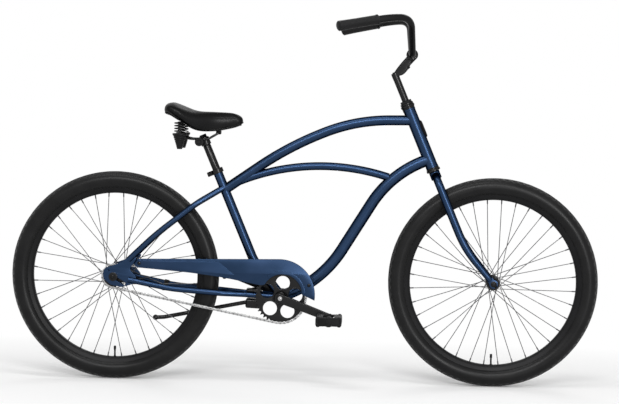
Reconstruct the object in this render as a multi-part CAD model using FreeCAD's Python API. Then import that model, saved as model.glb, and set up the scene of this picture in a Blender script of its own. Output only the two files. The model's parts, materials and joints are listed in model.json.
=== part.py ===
import FreeCAD, Part
import math
import os

# Beach cruiser bicycle in millimetres: X forward, Y to the rider's left, Z up.
# The origin lies on the ground, midway between the two axles. The drive side is -Y.

# Stance
wheel_radius = 334.0
wheelbase = 1210.0
bracket_drop = 58.0
head_angle = 67.0
seat_angle = 67.0
fork_rake = 42.0
seat_setback = 42.0

# Fits
running_clearance = 0.05
moving_gap = 0.3
overrun = 4.0

# Bends are made of short mitred lengths, each turned by no more than this
bend_step = 15.0
tube_sides = 16
wheel_sides = 56
flat_limit = 1e-6

# Frame tubes
head_tube_radius = 19.5
head_tube_length = 202.0
crown_above_tyre = 79.0
top_tube_radius = 16.0
top_tube_head_drop = 39.9
top_tube_seat_drop = 71.7
mid_tube_radius = 12.7
down_tube_radius = 19.05
down_tube_head_rise = 28.5
seat_tube_radius = 15.0
seat_tube_length = 440.0
seat_tube_bend = 150.0
seat_tube_bend_start = 122.0
shell_radius = 20.0
shell_half_width = 34.0

# Stays and dropouts
stay_radius = 9.5
dropout_inside = 55.0
dropout_thickness = 5.0
dropout_size = 37.0
dropout_slot_dip = 30.0
chain_stay_tail = 52.0
chain_stay_tail_drop = 8.0
chain_stay_heel = 185.0
chain_stay_heel_drop = 35.0
chain_stay_heel_spread = 51.0
chain_stay_heel_bend = 480.0
chain_stay_waist_lead = 9.0
chain_stay_waist_drop = 47.0
chain_stay_waist_spread = 45.0
chain_stay_waist_bend = 60.0
chain_stay_toe_lead = 82.0
chain_stay_toe_spread = 24.0
chain_stay_toe_bend = 60.0
chain_stay_root_spread = 22.0
seat_stay_root_drop = 64.1
seat_stay_root_spread = 9.0
seat_stay_fork_spread = 45.0
seat_stay_arch_spread = 53.0
seat_stay_tail_reach = 52.0
seat_stay_tail_rise = 59.0

# Headset
cup_flange_radius = 22.5
cup_height = 13.0
race_radius = 21.0
race_height = 6.0
locknut_flats = 36.0
locknut_height = 8.0

# Badge on the head tube
badge_length = 58.0
badge_thickness = 2.5
badge_half_angle = 26.0
badge_drop = 47.0

# Fork
steerer_radius = 12.7
quill_radius = 11.1
collar_radius = 17.0
collar_height = 26.0
blade_radius = 12.7
blade_tip_radius = 10.0
blade_spread = 52.5
blade_root_spread = 6.0
blade_shoulder_drop = 18.0
blade_shoulder_bend = 30.0
blade_rake_bend = 400.0
blade_rake_angle = 17.0
fork_tab_thickness = 5.0
fork_tab_radius = 14.0
fork_tab_length = 34.0
front_hub_inside = 50.0

# Stem and handlebar
quill_length = 230.0
stem_rise = 32.6
stem_reach = 74.0
stem_elbow_height = 127.0
stem_half_width = 11.0
stem_drop = 46.0
stem_back_height = 3.0
stem_throat_height = 13.0
stem_neck_above = 8.5
stem_neck_below = 12.0
clamp_radius = 18.5
clamp_half_width = 22.0
clamp_ear_length = 42.0
clamp_ear_thickness = 7.0
clamp_slit = 3.0
pinch_head_radius = 5.0
pinch_head_height = 5.0
expander_radius = 4.0
expander_head_radius = 6.5
expander_head_height = 7.0
wedge_length = 28.0
wedge_slope = 12.0
bar_radius = 11.1
bar_sleeve_radius = 12.7
bar_sleeve_half = 28.0
bar_root_spread = 46.0
bar_root_bend = 42.0
bar_crown_set_back = 8.0
bar_crown_rise = 113.0
bar_crown_spread = 190.0
bar_crown_bend = 100.0
bar_sweep_set_back = 75.0
bar_sweep_rise = 109.0
bar_sweep_spread = 262.0
bar_sweep_bend = 160.0
bar_end_set_back = 226.0
bar_end_rise = 80.0
bar_end_spread = 330.0
grip_radius = 15.0
grip_length = 130.0
grip_flange_radius = 17.0
grip_flange_length = 5.0
grip_cap_length = 4.0

# Seat post and collar
post_radius = 12.7
post_insert = 130.0
post_exposed = 82.0
post_neck_radius = 11.1
post_neck_length = 36.0
collar_ring_radius = 19.5
collar_ring_height = 15.0
collar_lug_reach = 14.0
collar_lug_width = 16.0
collar_slit = 3.0
collar_bolt_radius = 3.0
collar_bolt_head = 5.0
ring_sides = 16
bar_sides = 8
disc_sides = 12

# Saddle clamp
band_radius = 16.0
band_height = 26.0
cross_set_back = 17.0
cross_height = 12.0
cross_radius = 4.0
cross_nut_radius = 7.0
cross_nut_height = 6.0
disc_radius = 14.0
disc_inside = 17.0
disc_thickness = 14.0

# Saddle
rail_radius = 3.5
rail_spread = 24.0
rail_lift = 8.5
rail_front_run = 26.0
rail_rear_run = 24.0
rail_bend = 20.0
cup_set_back = 60.0
cup_spread = 50.0
cup_top_radius = 23.0
cup_rim_height = 6.0
cup_foot_radius = 8.0
cup_depth = 50.0
cup_lip = 1.5
cup_top_above = 27.0
spring_radius = 16.0
spring_wire = 2.0
spring_turns = 4
spring_gap = 0.4
spring_pitch = 8.5
wire_sides = 4
spring_chords = 10
saddle_length = 251.0
saddle_width = 214.0
saddle_depth = 87.5
saddle_rear_set_back = 111.0
saddle_floor_above = 36.0
base_thickness = 4.0
base_width_share = 0.86
pocket_gap = 3.0
pivot_radius = 4.0
nose_share = 0.68
nose_hem_share = 0.05
pivot_half_width = 15.0

# Saddle sections, as shares: place along the length from the tail, half width, crown, shoulder and hem
saddle_section_shares = (
    (0.000, 0.40, 0.86, 0.78, 0.66),
    (0.060, 0.88, 1.00, 0.86, 0.60),
    (0.190, 1.00, 0.88, 0.70, 0.40),
    (0.400, 0.78, 0.67, 0.46, 0.06),
    (0.620, 0.47, 0.64, 0.42, 0.02),
    (0.830, 0.31, 0.62, 0.42, 0.12),
    (0.950, 0.20, 0.53, 0.42, 0.26),
    (1.000, 0.08, 0.42, 0.39, 0.33),
)
saddle_hem_share = 0.80
crown_steps = 4
crown_power = 2.4

# Wheels
tyre_width = 58.0
tyre_facets = 5
rim_edge_depth = 50.0
rim_depth = 20.0
rim_width = 32.0
rim_bed_width = 14.0
spoke_count = 36
spoke_cross_angle = 60.0
spoke_radius = 1.1
spoke_sides = 3
spoke_lip_gap = 1.7
spoke_foot_spread = 3.0
valve_radius = 3.0
valve_length = 34.0
valve_cap_radius = 4.0
valve_cap_length = 12.0

# Hubs and axles
axle_radius = 4.75
axle_stub = 14.0
cone_radius = 8.0
nut_flats = 15.0
nut_height = 8.0
front_flange_spread = 33.0
front_flange_radius = 22.0
front_barrel_radius = 14.0
front_shell_half = 40.0
rear_flange_spread = 29.0
rear_flange_radius = 33.0
rear_barrel_radius = 23.0
rear_shell_half = 34.0
flange_thickness = 3.0
spoke_hole_inset = 3.5
brake_arm_inside = 43.0
brake_arm_thickness = 3.0
brake_arm_width = 17.0
brake_arm_length = 160.0
brake_arm_tip_width = 12.0
brake_arm_dip = 17.0
brake_disc_radius = 19.0
clip_width = 14.0
clip_thickness = 2.0

# Drive
chain_pitch = 12.7
ring_teeth = 40
sprocket_teeth = 18
chain_stay_room = 203.0
chain_line = 42.0
chain_inside_half = 2.6
plate_thickness = 1.2
plate_half_height = 4.0
plate_end = 4.0
roller_radius = 3.87
roller_sides = 3
tooth_height = 3.6
valley_depth = 4.3
valley_half = 2.6
ring_thickness = 3.0
ring_hole_count = 5
ring_hole_radius = 22.5
ring_hole_circle = 48.0
ring_hole_phase = 10.0
driver_radius = 15.0
driver_end = 50.0
spindle_radius = 8.5
spindle_half = 60.0
bearing_flange_radius = 19.0
bearing_flange_width = 3.0

# Crank arms and pedals
crank_length = 168.0
crank_dip = 20.5
boss_radius = 19.0
boss_inside = 40.0
boss_outside = 65.0
arm_inside = 56.0
arm_thickness = 13.0
arm_root_half = 15.0
arm_tip_half = 12.5
pedal_spindle_radius = 5.5
pedal_inside = 80.0
pedal_width = 84.0
pedal_length = 82.0
pedal_height = 31.0
pedal_barrel_radius = 10.0
pedal_block_length = 23.0
pedal_plate_thickness = 6.0
pedal_rib_height = 3.0
pedal_chamfer = 7.0
pedal_clearance = 0.1

# Chain guard
guard_inside = 50.0
guard_thickness = 1.5
guard_centre_back = 4.5
guard_centre_up = 9.5
guard_outer_radius = 114.0
guard_inner_radius = 73.0
guard_band_width = 11.0
guard_band_proud = 1.0
guard_band_end = 118.0
guard_nose_angle = -8.0
guard_lip_angle = 1.0
guard_heel_angle = 153.0
guard_tail_ahead = 80.0
guard_tail_above = 44.0
guard_tail_radius = 14.0
guard_flange_depth = 7.0
strap_width = 14.0
strap_thickness = 1.8
guard_post_radius = 5.0
guard_post_ahead = 90.2
guard_post_above = 42.0

# Kickstand
stand_behind = 88.0
stand_block_length = 48.0
stand_block_below = 44.0
stand_block_right = 22.0
stand_block_left = 34.0
stand_plate_thickness = 7.0
stand_plate_half = 28.0
stand_bolt_radius = 4.0
stand_bolt_head = 7.0
stand_pivot_below = 20.0
stand_pin_radius = 5.0
stand_pin_reach = 17.0
stand_barrel_radius = 11.0
stand_barrel_width = 13.0
stand_leg_radius = 6.5
stand_leg_length = 332.0
stand_leg_dip = 11.5
stand_foot_length = 34.0
stand_foot_kick = 8.0
stand_foot_bend = 40.0
stand_lean = 14.0


def v(x, y, z):
    """Point or direction."""
    return FreeCAD.Vector(x, y, z)


def unit(vector):
    """The same direction with a length of one."""
    return FreeCAD.Vector(vector).normalize()


ACROSS = v(0, 1, 0)
UP = v(0, 0, 1)
AHEAD = v(1, 0, 0)
QUARTER = 90.0
FULL = 360.0
SIDES = (-1, 1)


def rod(start, end, radius):
    """Straight tube between two points, by the radius to its corners."""
    return prism(start, end, radius, tube_sides)


def fused(pieces):
    """One solid from pieces that meet."""
    whole = pieces[0].multiFuse(pieces[1:])
    return whole.removeSplitter()


def largest(shape):
    """The biggest solid that a cut leaves."""
    return max(shape.Solids, key=lambda solid: solid.Volume)


def coped(solid, neighbours):
    """A bar cut to seat on each of its neighbours."""
    for neighbour in neighbours:
        solid = largest(solid.cut(neighbour))
    return solid


def square_to(along):
    """A direction at right angles to the given one."""
    return unit(along.cross(AHEAD if abs(along.y) > abs(along.x) + abs(along.z) else ACROSS))


def prism(start, end, radius, sides):
    """Straight bar with a regular section, by the radius to its corners."""
    along = unit(end - start)
    across = square_to(along)
    up = along.cross(across)
    corners = []
    for step in range(sides + 1):
        angle = 2 * math.pi * step / sides
        corners.append(start + across * (radius * math.cos(angle)) + up * (radius * math.sin(angle)))
    return Part.Face(Part.makePolygon(corners)).extrude(end - start)


def clear_radius(radius, sides):
    """Radius to the corners of a regular hole that a round bar just fits."""
    return radius / math.cos(math.pi / sides)


def bent_path(points, bends):
    """Run of points in which each bend becomes short chords that touch its arc."""
    path = [points[0]]
    for before, corner, after, bend in zip(points, points[1:], points[2:], bends):
        inward = unit(corner - before)
        outward = unit(after - corner)
        turn = inward.getAngle(outward)
        count = max(1, math.ceil(math.degrees(turn) / bend_step))
        axis = unit(inward.cross(outward))
        spoke = axis.cross(inward) * -1
        centre = corner - inward * (bend * math.tan(turn / 2)) - spoke * bend
        reach = bend / math.cos(turn / count / 2)
        for step in range(count):
            swing = FreeCAD.Rotation(axis, math.degrees(turn) * (step + 0.5) / count)
            path.append(centre + swing.multVec(spoke) * reach)
    path.append(points[-1])
    return path


def ring_of(centre, along, radius, sides):
    """Corners of a regular section square to a direction."""
    across = square_to(along)
    up = along.cross(across)
    corners = []
    for step in range(sides):
        angle = 2 * math.pi * step / sides
        corners.append(centre + across * (radius * math.cos(angle)) + up * (radius * math.sin(angle)))
    return corners


def facet(corners):
    """Flat face."""
    return Part.Face(Part.makePolygon(corners + corners[:1]))


def is_flat(corners):
    """Whether four corners lie in one plane."""
    first, second, third, fourth = corners
    return abs(unit((second - first).cross(third - first)).dot(fourth - first)) < flat_limit


def skin(rings, looped=False):
    """Solid with flat faces between rings of corners, closed at both ends or joined into a loop."""
    faces = []
    for lower, upper in zip(rings, rings[1:] + (rings[:1] if looped else [])):
        for number in range(len(lower)):
            corners = [lower[number - 1], lower[number], upper[number], upper[number - 1]]
            if is_flat(corners):
                faces.append(facet(corners))
            else:
                faces += [facet(corners[:3]), facet(corners[2:] + corners[:1])]
    if not looped:
        for ring in (rings[0], rings[-1]):
            faces.append(facet(ring))
    solid = Part.makeSolid(Part.makeShell(faces))
    if solid.Volume < 0:
        solid.reverse()
    return solid


def tube_along(path, radius, sides, tip_radius=0):
    """Tube along straight lengths that meet in mitres; its last length may taper."""
    headings = [unit(after - before) for before, after in zip(path, path[1:])]
    rings = [ring_of(path[0], headings[0], radius, sides)]
    for number, heading in enumerate(headings):
        last = number == len(headings) - 1
        mitre = heading if last else unit(heading + headings[number + 1])
        end = path[number + 1]
        ring = []
        for corner in rings[-1]:
            ring.append(corner + heading * ((end - corner).dot(mitre) / heading.dot(mitre)))
        if last and tip_radius:
            ring = [end + (corner - end) * (tip_radius / radius) for corner in ring]
        rings.append(ring)
    return skin(rings)


def bent_rod(points, bends, radius, sides=tube_sides):
    """Tube along straight lengths with bends of given radii between them."""
    return tube_along(bent_path(points, bends), radius, sides)


def wheel_ring(axle, outline):
    """Ring round an axle from a closed section of (distance across, radius)."""
    rings = []
    for step in range(wheel_sides):
        angle = FULL * (step + 0.5) / wheel_sides
        ring = []
        for across, radius in outline:
            ring.append(polar(axle, clear_radius(radius, wheel_sides), angle) + ACROSS * across)
        rings.append(ring)
    return skin(rings, True)


def turned(centre, axis, stations, bore):
    """Stepped ring along an axis: stations are (distance along the axis, radius), round a bore."""
    along = unit(axis)
    rings = [ring_of(centre + along * place, along, radius, tube_sides) for place, radius in stations]
    low = centre + along * (stations[0][0] - overrun)
    high = centre + along * (stations[-1][0] + overrun)
    core = prism(low, high, bore, tube_sides)
    return skin(rings).cut(core)


def plate(edges, depth_from, depth_to):
    """Flat outline in the XZ plane, thickened between two Y values."""
    face = Part.Face(Part.Wire(edges))
    face.translate(ACROSS * depth_from)
    return face.extrude(ACROSS * (depth_to - depth_from))


def flat(x, z):
    """Point of an outline in the XZ plane."""
    return v(x, 0, z)


def polygon(points):
    """Closed outline with straight sides."""
    return Part.makePolygon(points + points[:1]).Edges


def line(start, end):
    """Straight edge."""
    return Part.LineSegment(start, end).toShape()


def arc(start, middle, end):
    """Round edge through three points."""
    return Part.Arc(start, middle, end).toShape()


def polar(centre, radius, degrees):
    """Point of an outline at a radius and an angle above +X."""
    angle = math.radians(degrees)
    return centre + v(radius * math.cos(angle), 0, radius * math.sin(angle))


# Reference points and frames
rear_axle = v(-wheelbase / 2, 0, wheel_radius)
front_axle = v(wheelbase / 2, 0, wheel_radius)
ring_pitch_radius = chain_pitch / (2 * math.sin(math.pi / ring_teeth))
sprocket_pitch_radius = chain_pitch / (2 * math.sin(math.pi / sprocket_teeth))


def links_for(distance):
    """Chain pitches round both toothed wheels at a centre distance."""
    lean = math.asin((ring_pitch_radius - sprocket_pitch_radius) / distance)
    runs = 2 * distance * math.cos(lean) / chain_pitch
    ring = ring_teeth * (math.pi + 2 * lean) / (2 * math.pi)
    sprocket = sprocket_teeth * (math.pi - 2 * lean) / (2 * math.pi)
    return runs + ring + sprocket


# Least even number of links whose stays leave room between the tyre and the seat tube
chain_links = 2 * math.ceil(links_for(wheel_radius + chain_stay_room) / 2)


def tight_distance():
    """Centre distance at which the chain runs tight with its whole number of links."""
    near = ring_pitch_radius + sprocket_pitch_radius
    far = chain_links * chain_pitch
    while far - near > running_clearance * running_clearance:
        middle = (near + far) / 2
        if links_for(middle) < chain_links:
            near = middle
        else:
            far = middle
    return (near + far) / 2


stay_span = tight_distance()
bracket_height = wheel_radius - bracket_drop
bracket = v(rear_axle.x + math.sqrt(stay_span**2 - bracket_drop**2), 0, bracket_height)

steer_turn = FreeCAD.Rotation(ACROSS, head_angle - QUARTER)
steer_up = steer_turn.multVec(UP)
steer_ahead = steer_turn.multVec(AHEAD)
steer_foot = front_axle - steer_ahead * fork_rake

seat_turn = FreeCAD.Rotation(ACROSS, seat_angle - QUARTER)
seat_up = seat_turn.multVec(UP)
seat_ahead = seat_turn.multVec(AHEAD)
seat_foot = bracket - AHEAD * seat_setback


def steer(ahead, left, up):
    """Point measured from the foot of the steering axis."""
    return steer_foot + steer_ahead * ahead + ACROSS * left + steer_up * up


def seat(ahead, left, up):
    """Point measured along the seat tube, from the height of the crank axis."""
    return seat_foot + seat_ahead * ahead + ACROSS * left + seat_up * up


head_low = wheel_radius + crown_above_tyre
head_high = head_low + head_tube_length
rim_edge_radius = wheel_radius - rim_edge_depth
rim_inner_radius = rim_edge_radius - rim_depth
head_core = rod(steer(0, 0, head_low), steer(0, 0, head_high), head_tube_radius)
seat_top = seat(0, 0, seat_tube_length)


# Places on the bent tubes, as shares of the way along and up from one end of the tube to the other,
# and their bend radii as shares of the distance between those ends
top_brow_shares = (0.6911, 0.9871)
top_back_shares = (0.3381, 0.6078)
top_brow_bend_share = 0.873
top_back_bend_share = 1.638
mid_crest_shares = (0.5255, 0.3491)
mid_bend_share = 1.092
knee_shares = (0.7396, 0.8929)
foot_shares = (0.272, 0.1027)
knee_bend_share = 0.535
foot_bend_share = 0.566
stay_fork_shares = (0.2923, 0.2271)
stay_arch_shares = (0.7176, 0.655)
stay_fork_bend_share = 0.322
stay_arch_bend_share = 2.416
guard_waist_shares = (0.4997, 0.3351)


def part_way(start, end, shares):
    """Point of the middle plane at given shares of the way along and up from one point to another."""
    along, up = shares
    return flat(start.x + (end.x - start.x) * along, start.z + (end.z - start.z) * up)


top_head = steer(0, 0, head_high - top_tube_head_drop)
top_seat = seat(0, 0, seat_tube_length - top_tube_seat_drop)
top_span = (top_head - top_seat).Length
down_head = steer(0, 0, head_low + down_tube_head_rise)
down_span = (down_head - bracket).Length
down_knee = part_way(bracket, down_head, knee_shares)
stay_root = seat(0, 0, seat_tube_length - seat_stay_root_drop)
stay_tail = rear_axle + flat(seat_stay_tail_reach, seat_stay_tail_rise)
seat_stay_span = (stay_tail - stay_root).Length


# Frame
def make_head_tube():
    """Head tube with the headset cups pressed into both ends."""
    middle = head_tube_length
    stations = [
        (-cup_height, race_radius),
        (-cup_height / 2, cup_flange_radius),
        (0, cup_flange_radius),
        (0, head_tube_radius),
        (middle, head_tube_radius),
        (middle, cup_flange_radius),
        (middle + cup_height / 2, cup_flange_radius),
        (middle + cup_height, race_radius),
    ]
    bore = clear_radius(steerer_radius + running_clearance, tube_sides)
    return turned(steer(0, 0, head_low), steer_up, stations, bore)


def make_seat_core():
    """Seat tube whose foot bends forward on to the bottom bracket shell, before it is bored."""
    tube = bent_rod([seat_top, seat(0, 0, seat_tube_bend_start), bracket], [seat_tube_bend], seat_tube_radius)
    shell = ACROSS * shell_half_width
    cups = ACROSS * (shell_half_width + bearing_flange_width)
    return fused(
        [
            tube,
            rod(bracket - shell, bracket + shell, shell_radius),
            rod(bracket - cups, bracket + cups, bearing_flange_radius),
        ]
    )


def make_seat_tube(core):
    """Seat tube and bracket, bored for the seat post and the crank spindle."""
    depth = seat(0, 0, seat_tube_length - post_insert - post_exposed)
    post_bore_radius = clear_radius(post_radius + running_clearance, tube_sides)
    post_bore = rod(depth, seat_top + seat_up * overrun, post_bore_radius)
    reach = ACROSS * (shell_half_width + bearing_flange_width + overrun)
    spindle_bore_radius = clear_radius(spindle_radius + running_clearance, tube_sides)
    spindle_bore = rod(bracket - reach, bracket + reach, spindle_bore_radius)
    return largest(core.cut(post_bore).cut(spindle_bore))


def make_top_tube(neighbours):
    path = [
        top_head,
        part_way(top_seat, top_head, top_brow_shares),
        part_way(top_seat, top_head, top_back_shares),
        top_seat,
    ]
    bends = [top_brow_bend_share * top_span, top_back_bend_share * top_span]
    return coped(bent_rod(path, bends, top_tube_radius), neighbours)


def make_down_tube(neighbours):
    path = [down_head, down_knee, part_way(bracket, down_head, foot_shares), bracket]
    bends = [knee_bend_share * down_span, foot_bend_share * down_span]
    return coped(bent_rod(path, bends, down_tube_radius), neighbours)


def make_mid_tube(neighbours):
    """One long arch from the down tube back into the underside of the top tube."""
    bend = mid_bend_share * top_span
    centre = part_way(top_seat, top_head, mid_crest_shares) - UP * bend
    front = math.degrees(math.acos((down_knee.x - centre.x) / bend))
    rear = math.degrees(math.acos((top_seat.x - centre.x) / bend))
    corner = polar(centre, bend / math.cos(math.radians(rear - front) / 2), (front + rear) / 2)
    path = [polar(centre, bend, front), corner, polar(centre, bend, rear)]
    return coped(bent_rod(path, [bend], mid_tube_radius), neighbours)


# Dropout outline round the axle, as shares of the dropout's size: a round back, then a tongue for each stay
dropout_shares = (
    (-0.75, 0.78),
    (-0.99, 0.20),
    (-0.80, -0.25),
    (-0.20, -0.76),
    (0.75, -0.95),
    (1.90, -0.55),
    (2.00, 0.00),
    (1.42, 0.70),
    (2.05, 1.62),
    (1.66, 2.02),
    (0.70, 1.25),
)


def make_dropout(side):
    """Plate with a slot that opens forward, where the rear axle slides to tighten the chain."""
    points = [rear_axle + flat(x * dropout_size, z * dropout_size) for x, z in dropout_shares]
    edges = [arc(points[0], points[1], points[2])]
    for start, end in zip(points[2:], points[3:] + points[:1]):
        edges.append(line(start, end))
    inside = side * dropout_inside
    solid = plate(edges, inside, inside + side * dropout_thickness)
    half = axle_radius + moving_gap
    back = polar(rear_axle, -half, -dropout_slot_dip)
    mouth = polar(rear_axle, dropout_size * 2, -dropout_slot_dip)
    across = polar(FreeCAD.Vector(), half, QUARTER - dropout_slot_dip)
    corners = [back + across, mouth + across, mouth - across, back - across]
    slot = plate(polygon(corners), inside - side * overrun, inside + side * (dropout_thickness + overrun))
    return largest(solid.cut(slot))


def chain_stay_path(side):
    """From the dropout, round the tyre and in behind the chainring to the bracket shell."""
    middle = side * (dropout_inside + dropout_thickness / 2)
    waist_x = rear_axle.x + wheel_radius + chain_stay_waist_lead
    toe_x = rear_axle.x + wheel_radius + chain_stay_toe_lead
    waist_z = rear_axle.z - chain_stay_waist_drop
    fall = (waist_z - bracket.z) / (bracket.x - waist_x)
    return [
        rear_axle + v(chain_stay_tail, middle, -chain_stay_tail_drop),
        rear_axle + v(chain_stay_heel, side * chain_stay_heel_spread, -chain_stay_heel_drop),
        v(waist_x, side * chain_stay_waist_spread, waist_z),
        v(toe_x, side * chain_stay_toe_spread, waist_z - fall * (toe_x - waist_x)),
        bracket + ACROSS * (side * chain_stay_root_spread),
    ]


def make_chain_stay(side, neighbours):
    bends = [chain_stay_heel_bend, chain_stay_waist_bend, chain_stay_toe_bend]
    return coped(bent_rod(chain_stay_path(side), bends, stay_radius), neighbours)


def seat_stay_path(side):
    """From the seat tube, out past the tyre and down to the dropout."""
    middle = side * (dropout_inside + dropout_thickness / 2)
    fork = part_way(stay_root, stay_tail, stay_fork_shares)
    arch = part_way(stay_root, stay_tail, stay_arch_shares)
    return [
        stay_root + ACROSS * (side * seat_stay_root_spread),
        fork + ACROSS * (side * seat_stay_fork_spread),
        arch + ACROSS * (side * seat_stay_arch_spread),
        stay_tail + ACROSS * middle,
    ]


def make_seat_stay(side, neighbours):
    bends = [stay_fork_bend_share * seat_stay_span, stay_arch_bend_share * seat_stay_span]
    return coped(bent_rod(seat_stay_path(side), bends, stay_radius), neighbours)


def make_badge():
    """Bare curved plate on the front of the head tube."""
    top = head_high - badge_drop
    outer = rod(steer(0, 0, top - badge_length), steer(0, 0, top), head_tube_radius + badge_thickness)
    reach = 2 * head_tube_radius
    spread = reach * math.tan(math.radians(badge_half_angle))
    low = top - badge_length - overrun
    corners = [steer(0, 0, low), steer(reach, spread, low), steer(reach, -spread, low)]
    wedge = Part.Face(Part.makePolygon(corners + corners[:1]))
    return outer.common(wedge.extrude(steer_up * (badge_length + 2 * overrun))).cut(head_core)


def make_seat_collar(core):
    """Split ring round the top of the seat tube, drawn tight by a bolt behind."""
    low = seat_tube_length - collar_ring_height
    ring = prism(seat(0, 0, low), seat_top, clear_radius(collar_ring_radius, ring_sides), ring_sides)
    reach = collar_ring_radius + collar_lug_reach
    half = collar_lug_width / 2

    def slab(back, bottom, top, width):
        corners = [seat(-back, 0, bottom), seat(0, 0, bottom), seat(0, 0, top), seat(-back, 0, top)]
        return plate(polygon(corners), -width, width)

    lug = slab(reach, low, seat_tube_length, half)
    slit = slab(reach + overrun, low - overrun, seat_tube_length + overrun, collar_slit / 2)
    middle = seat(-reach + collar_lug_reach / 2, 0, seat_tube_length - collar_ring_height / 2)
    hole = ACROSS * (half + overrun)
    bolt_hole = prism(middle - hole, middle + hole, collar_bolt_radius, bar_sides)
    body = fused([ring, lug]).cut(core).cut(slit).cut(bolt_hole)
    grip = ACROSS * half
    head = ACROSS * (half + collar_bolt_radius)
    bolt = prism(middle - grip, middle + grip, collar_bolt_radius, bar_sides)
    ends = [prism(middle + grip * side, middle + head * side, collar_bolt_head, bar_sides) for side in SIDES]
    return Part.makeCompound([largest(body), fused([bolt] + ends)])


# Fork
collar_top = head_low - cup_height - moving_gap
collar_low = collar_top - collar_height
locknut_low = head_high + cup_height + moving_gap
steerer_top = locknut_low + race_height + locknut_height
stem_elbow = steerer_top + stem_elbow_height - stem_rise
quill_low = stem_elbow - quill_length


def make_steerer():
    """Steerer, bored for the stem's quill, with the crown collar on its foot."""
    tube = rod(steer(0, 0, collar_low), steer(0, 0, steerer_top), steerer_radius)
    collar = rod(steer(0, 0, collar_low), steer(0, 0, collar_top), collar_radius)
    depth = steer(0, 0, quill_low - wedge_length - stem_drop)
    bore = rod(depth, steer(0, 0, steerer_top + overrun), quill_radius + running_clearance)
    return fused([tube, collar]).cut(bore)


def make_locknut():
    """Upper race with its hexagon locknut."""
    base = steer(0, 0, locknut_low)
    seam = steer(0, 0, locknut_low + race_height)
    race = prism(base, seam, clear_radius(race_radius, ring_sides), ring_sides)
    nut = prism(seam, steer(0, 0, steerer_top), clear_radius(locknut_flats / 2, 6), 6)
    bore_end = steer(0, 0, steerer_top + overrun)
    bore = prism(base - steer_up * overrun, bore_end, clear_radius(steerer_radius, ring_sides), ring_sides)
    return fused([race, nut]).cut(bore)


def make_fork_blade(side, crown):
    """Blade from the crown collar, out over the tyre and raked forward to a flat tab on the axle."""
    turn = math.radians(blade_rake_angle)
    middle = collar_low + collar_height / 2
    heading = steer_ahead * math.sin(turn) - steer_up * math.cos(turn)
    tip = steer(fork_rake, side * blade_spread, 0)
    knee = tip - heading * (fork_rake / math.sin(turn))
    taper = knee + heading * (blade_rake_bend * math.tan(turn / 2) + blade_radius)
    path = [
        steer(0, side * blade_root_spread, middle),
        steer(0, side * blade_spread, middle - blade_shoulder_drop),
        knee,
        taper,
    ]
    bends = [blade_shoulder_bend, blade_rake_bend]
    end = tip - heading * fork_tab_radius
    blade = tube_along(bent_path(path, bends) + [end], blade_radius, tube_sides, blade_tip_radius)
    return largest(fused([blade, make_fork_tab(side, heading)]).cut(crown))


def make_fork_tab(side, heading):
    """Flat end of the blade, notched from below for the front axle."""
    inside = side * front_hub_inside
    outside = inside + side * fork_tab_thickness
    disc = prism(
        front_axle + ACROSS * inside,
        front_axle + ACROSS * outside,
        clear_radius(fork_tab_radius, disc_sides),
        disc_sides,
    )
    wide = ACROSS.cross(heading)

    def strip(top, low, half, depth):
        high_point = front_axle - heading * top
        low_point = front_axle + heading * low
        edge = wide * half
        corners = [high_point + edge, low_point + edge, low_point - edge, high_point - edge]
        return plate(polygon(corners), inside - side * depth, outside + side * depth)

    neck = strip(fork_tab_length, 0, blade_tip_radius, 0)
    notch = strip(axle_radius, fork_tab_radius + overrun, axle_radius, overrun)
    return fused([disc, neck]).cut(notch)


def make_axle(axle, inside, holder):
    """Axle with its two bearing cones, and the nuts that clamp it in the frame."""
    clamp = inside + holder
    reach = ACROSS * (clamp + axle_stub)
    pieces = [prism(axle - reach, axle + reach, axle_radius, bar_sides)]
    for side in SIDES:
        along = ACROSS * side
        pieces.append(prism(axle + along * (inside / 2), axle + along * inside, cone_radius, disc_sides))
        nut_end = axle + along * (clamp + nut_height)
        pieces.append(prism(axle + along * clamp, nut_end, clear_radius(nut_flats / 2, 6), 6))
    return fused(pieces)


# Wheels
def make_tyre(axle):
    """Ring with a rounded section, flat where it sits on the rim."""
    section = tyre_width / 2
    centre = wheel_radius - section
    half = math.sqrt(section**2 - (centre - rim_edge_radius) ** 2)
    sweep = 2 * math.atan2(half, rim_edge_radius - centre)
    step = sweep / tyre_facets
    reach = section / math.cos(step / 2)
    outline = [(-half, rim_edge_radius)]
    for number in range(1, tyre_facets):
        angle = number * step - sweep / 2
        outline.append((reach * math.sin(angle), centre + reach * math.cos(angle)))
    outline.append((half, rim_edge_radius))
    return wheel_ring(axle, outline)


def make_rim(axle):
    """Rim ring with sloping sides."""
    half = rim_width / 2
    bed = rim_bed_width / 2
    left = [(bed, rim_inner_radius), (half, rim_edge_radius)]
    right = [(-half, rim_edge_radius), (-bed, rim_inner_radius)]
    return wheel_ring(axle, right + left)


def make_spokes(axle, rim, flange_spread, flange_radius):
    """Crossed spokes from both hub flanges to the rim."""
    solids = []
    half = flange_thickness / 2
    for number in range(spoke_count):
        side = 1 if number % 2 else -1
        lead = 1 if number // 2 % 2 else -1
        rim_angle = FULL * (number + 0.5) / spoke_count - QUARTER
        offset = half + spoke_radius + spoke_lip_gap if lead > 0 else -half - spoke_radius
        head = polar(axle, flange_radius - spoke_hole_inset, rim_angle + lead * spoke_cross_angle)
        foot = polar(axle, rim_inner_radius + overrun, rim_angle)
        spread = ACROSS * (side * spoke_foot_spread)
        head += ACROSS * (side * (flange_spread + offset))
        spoke = prism(head, foot + spread, spoke_radius, spoke_sides)
        solids.append(largest(spoke.cut(rim)))
    return Part.makeCompound(solids)


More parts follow.
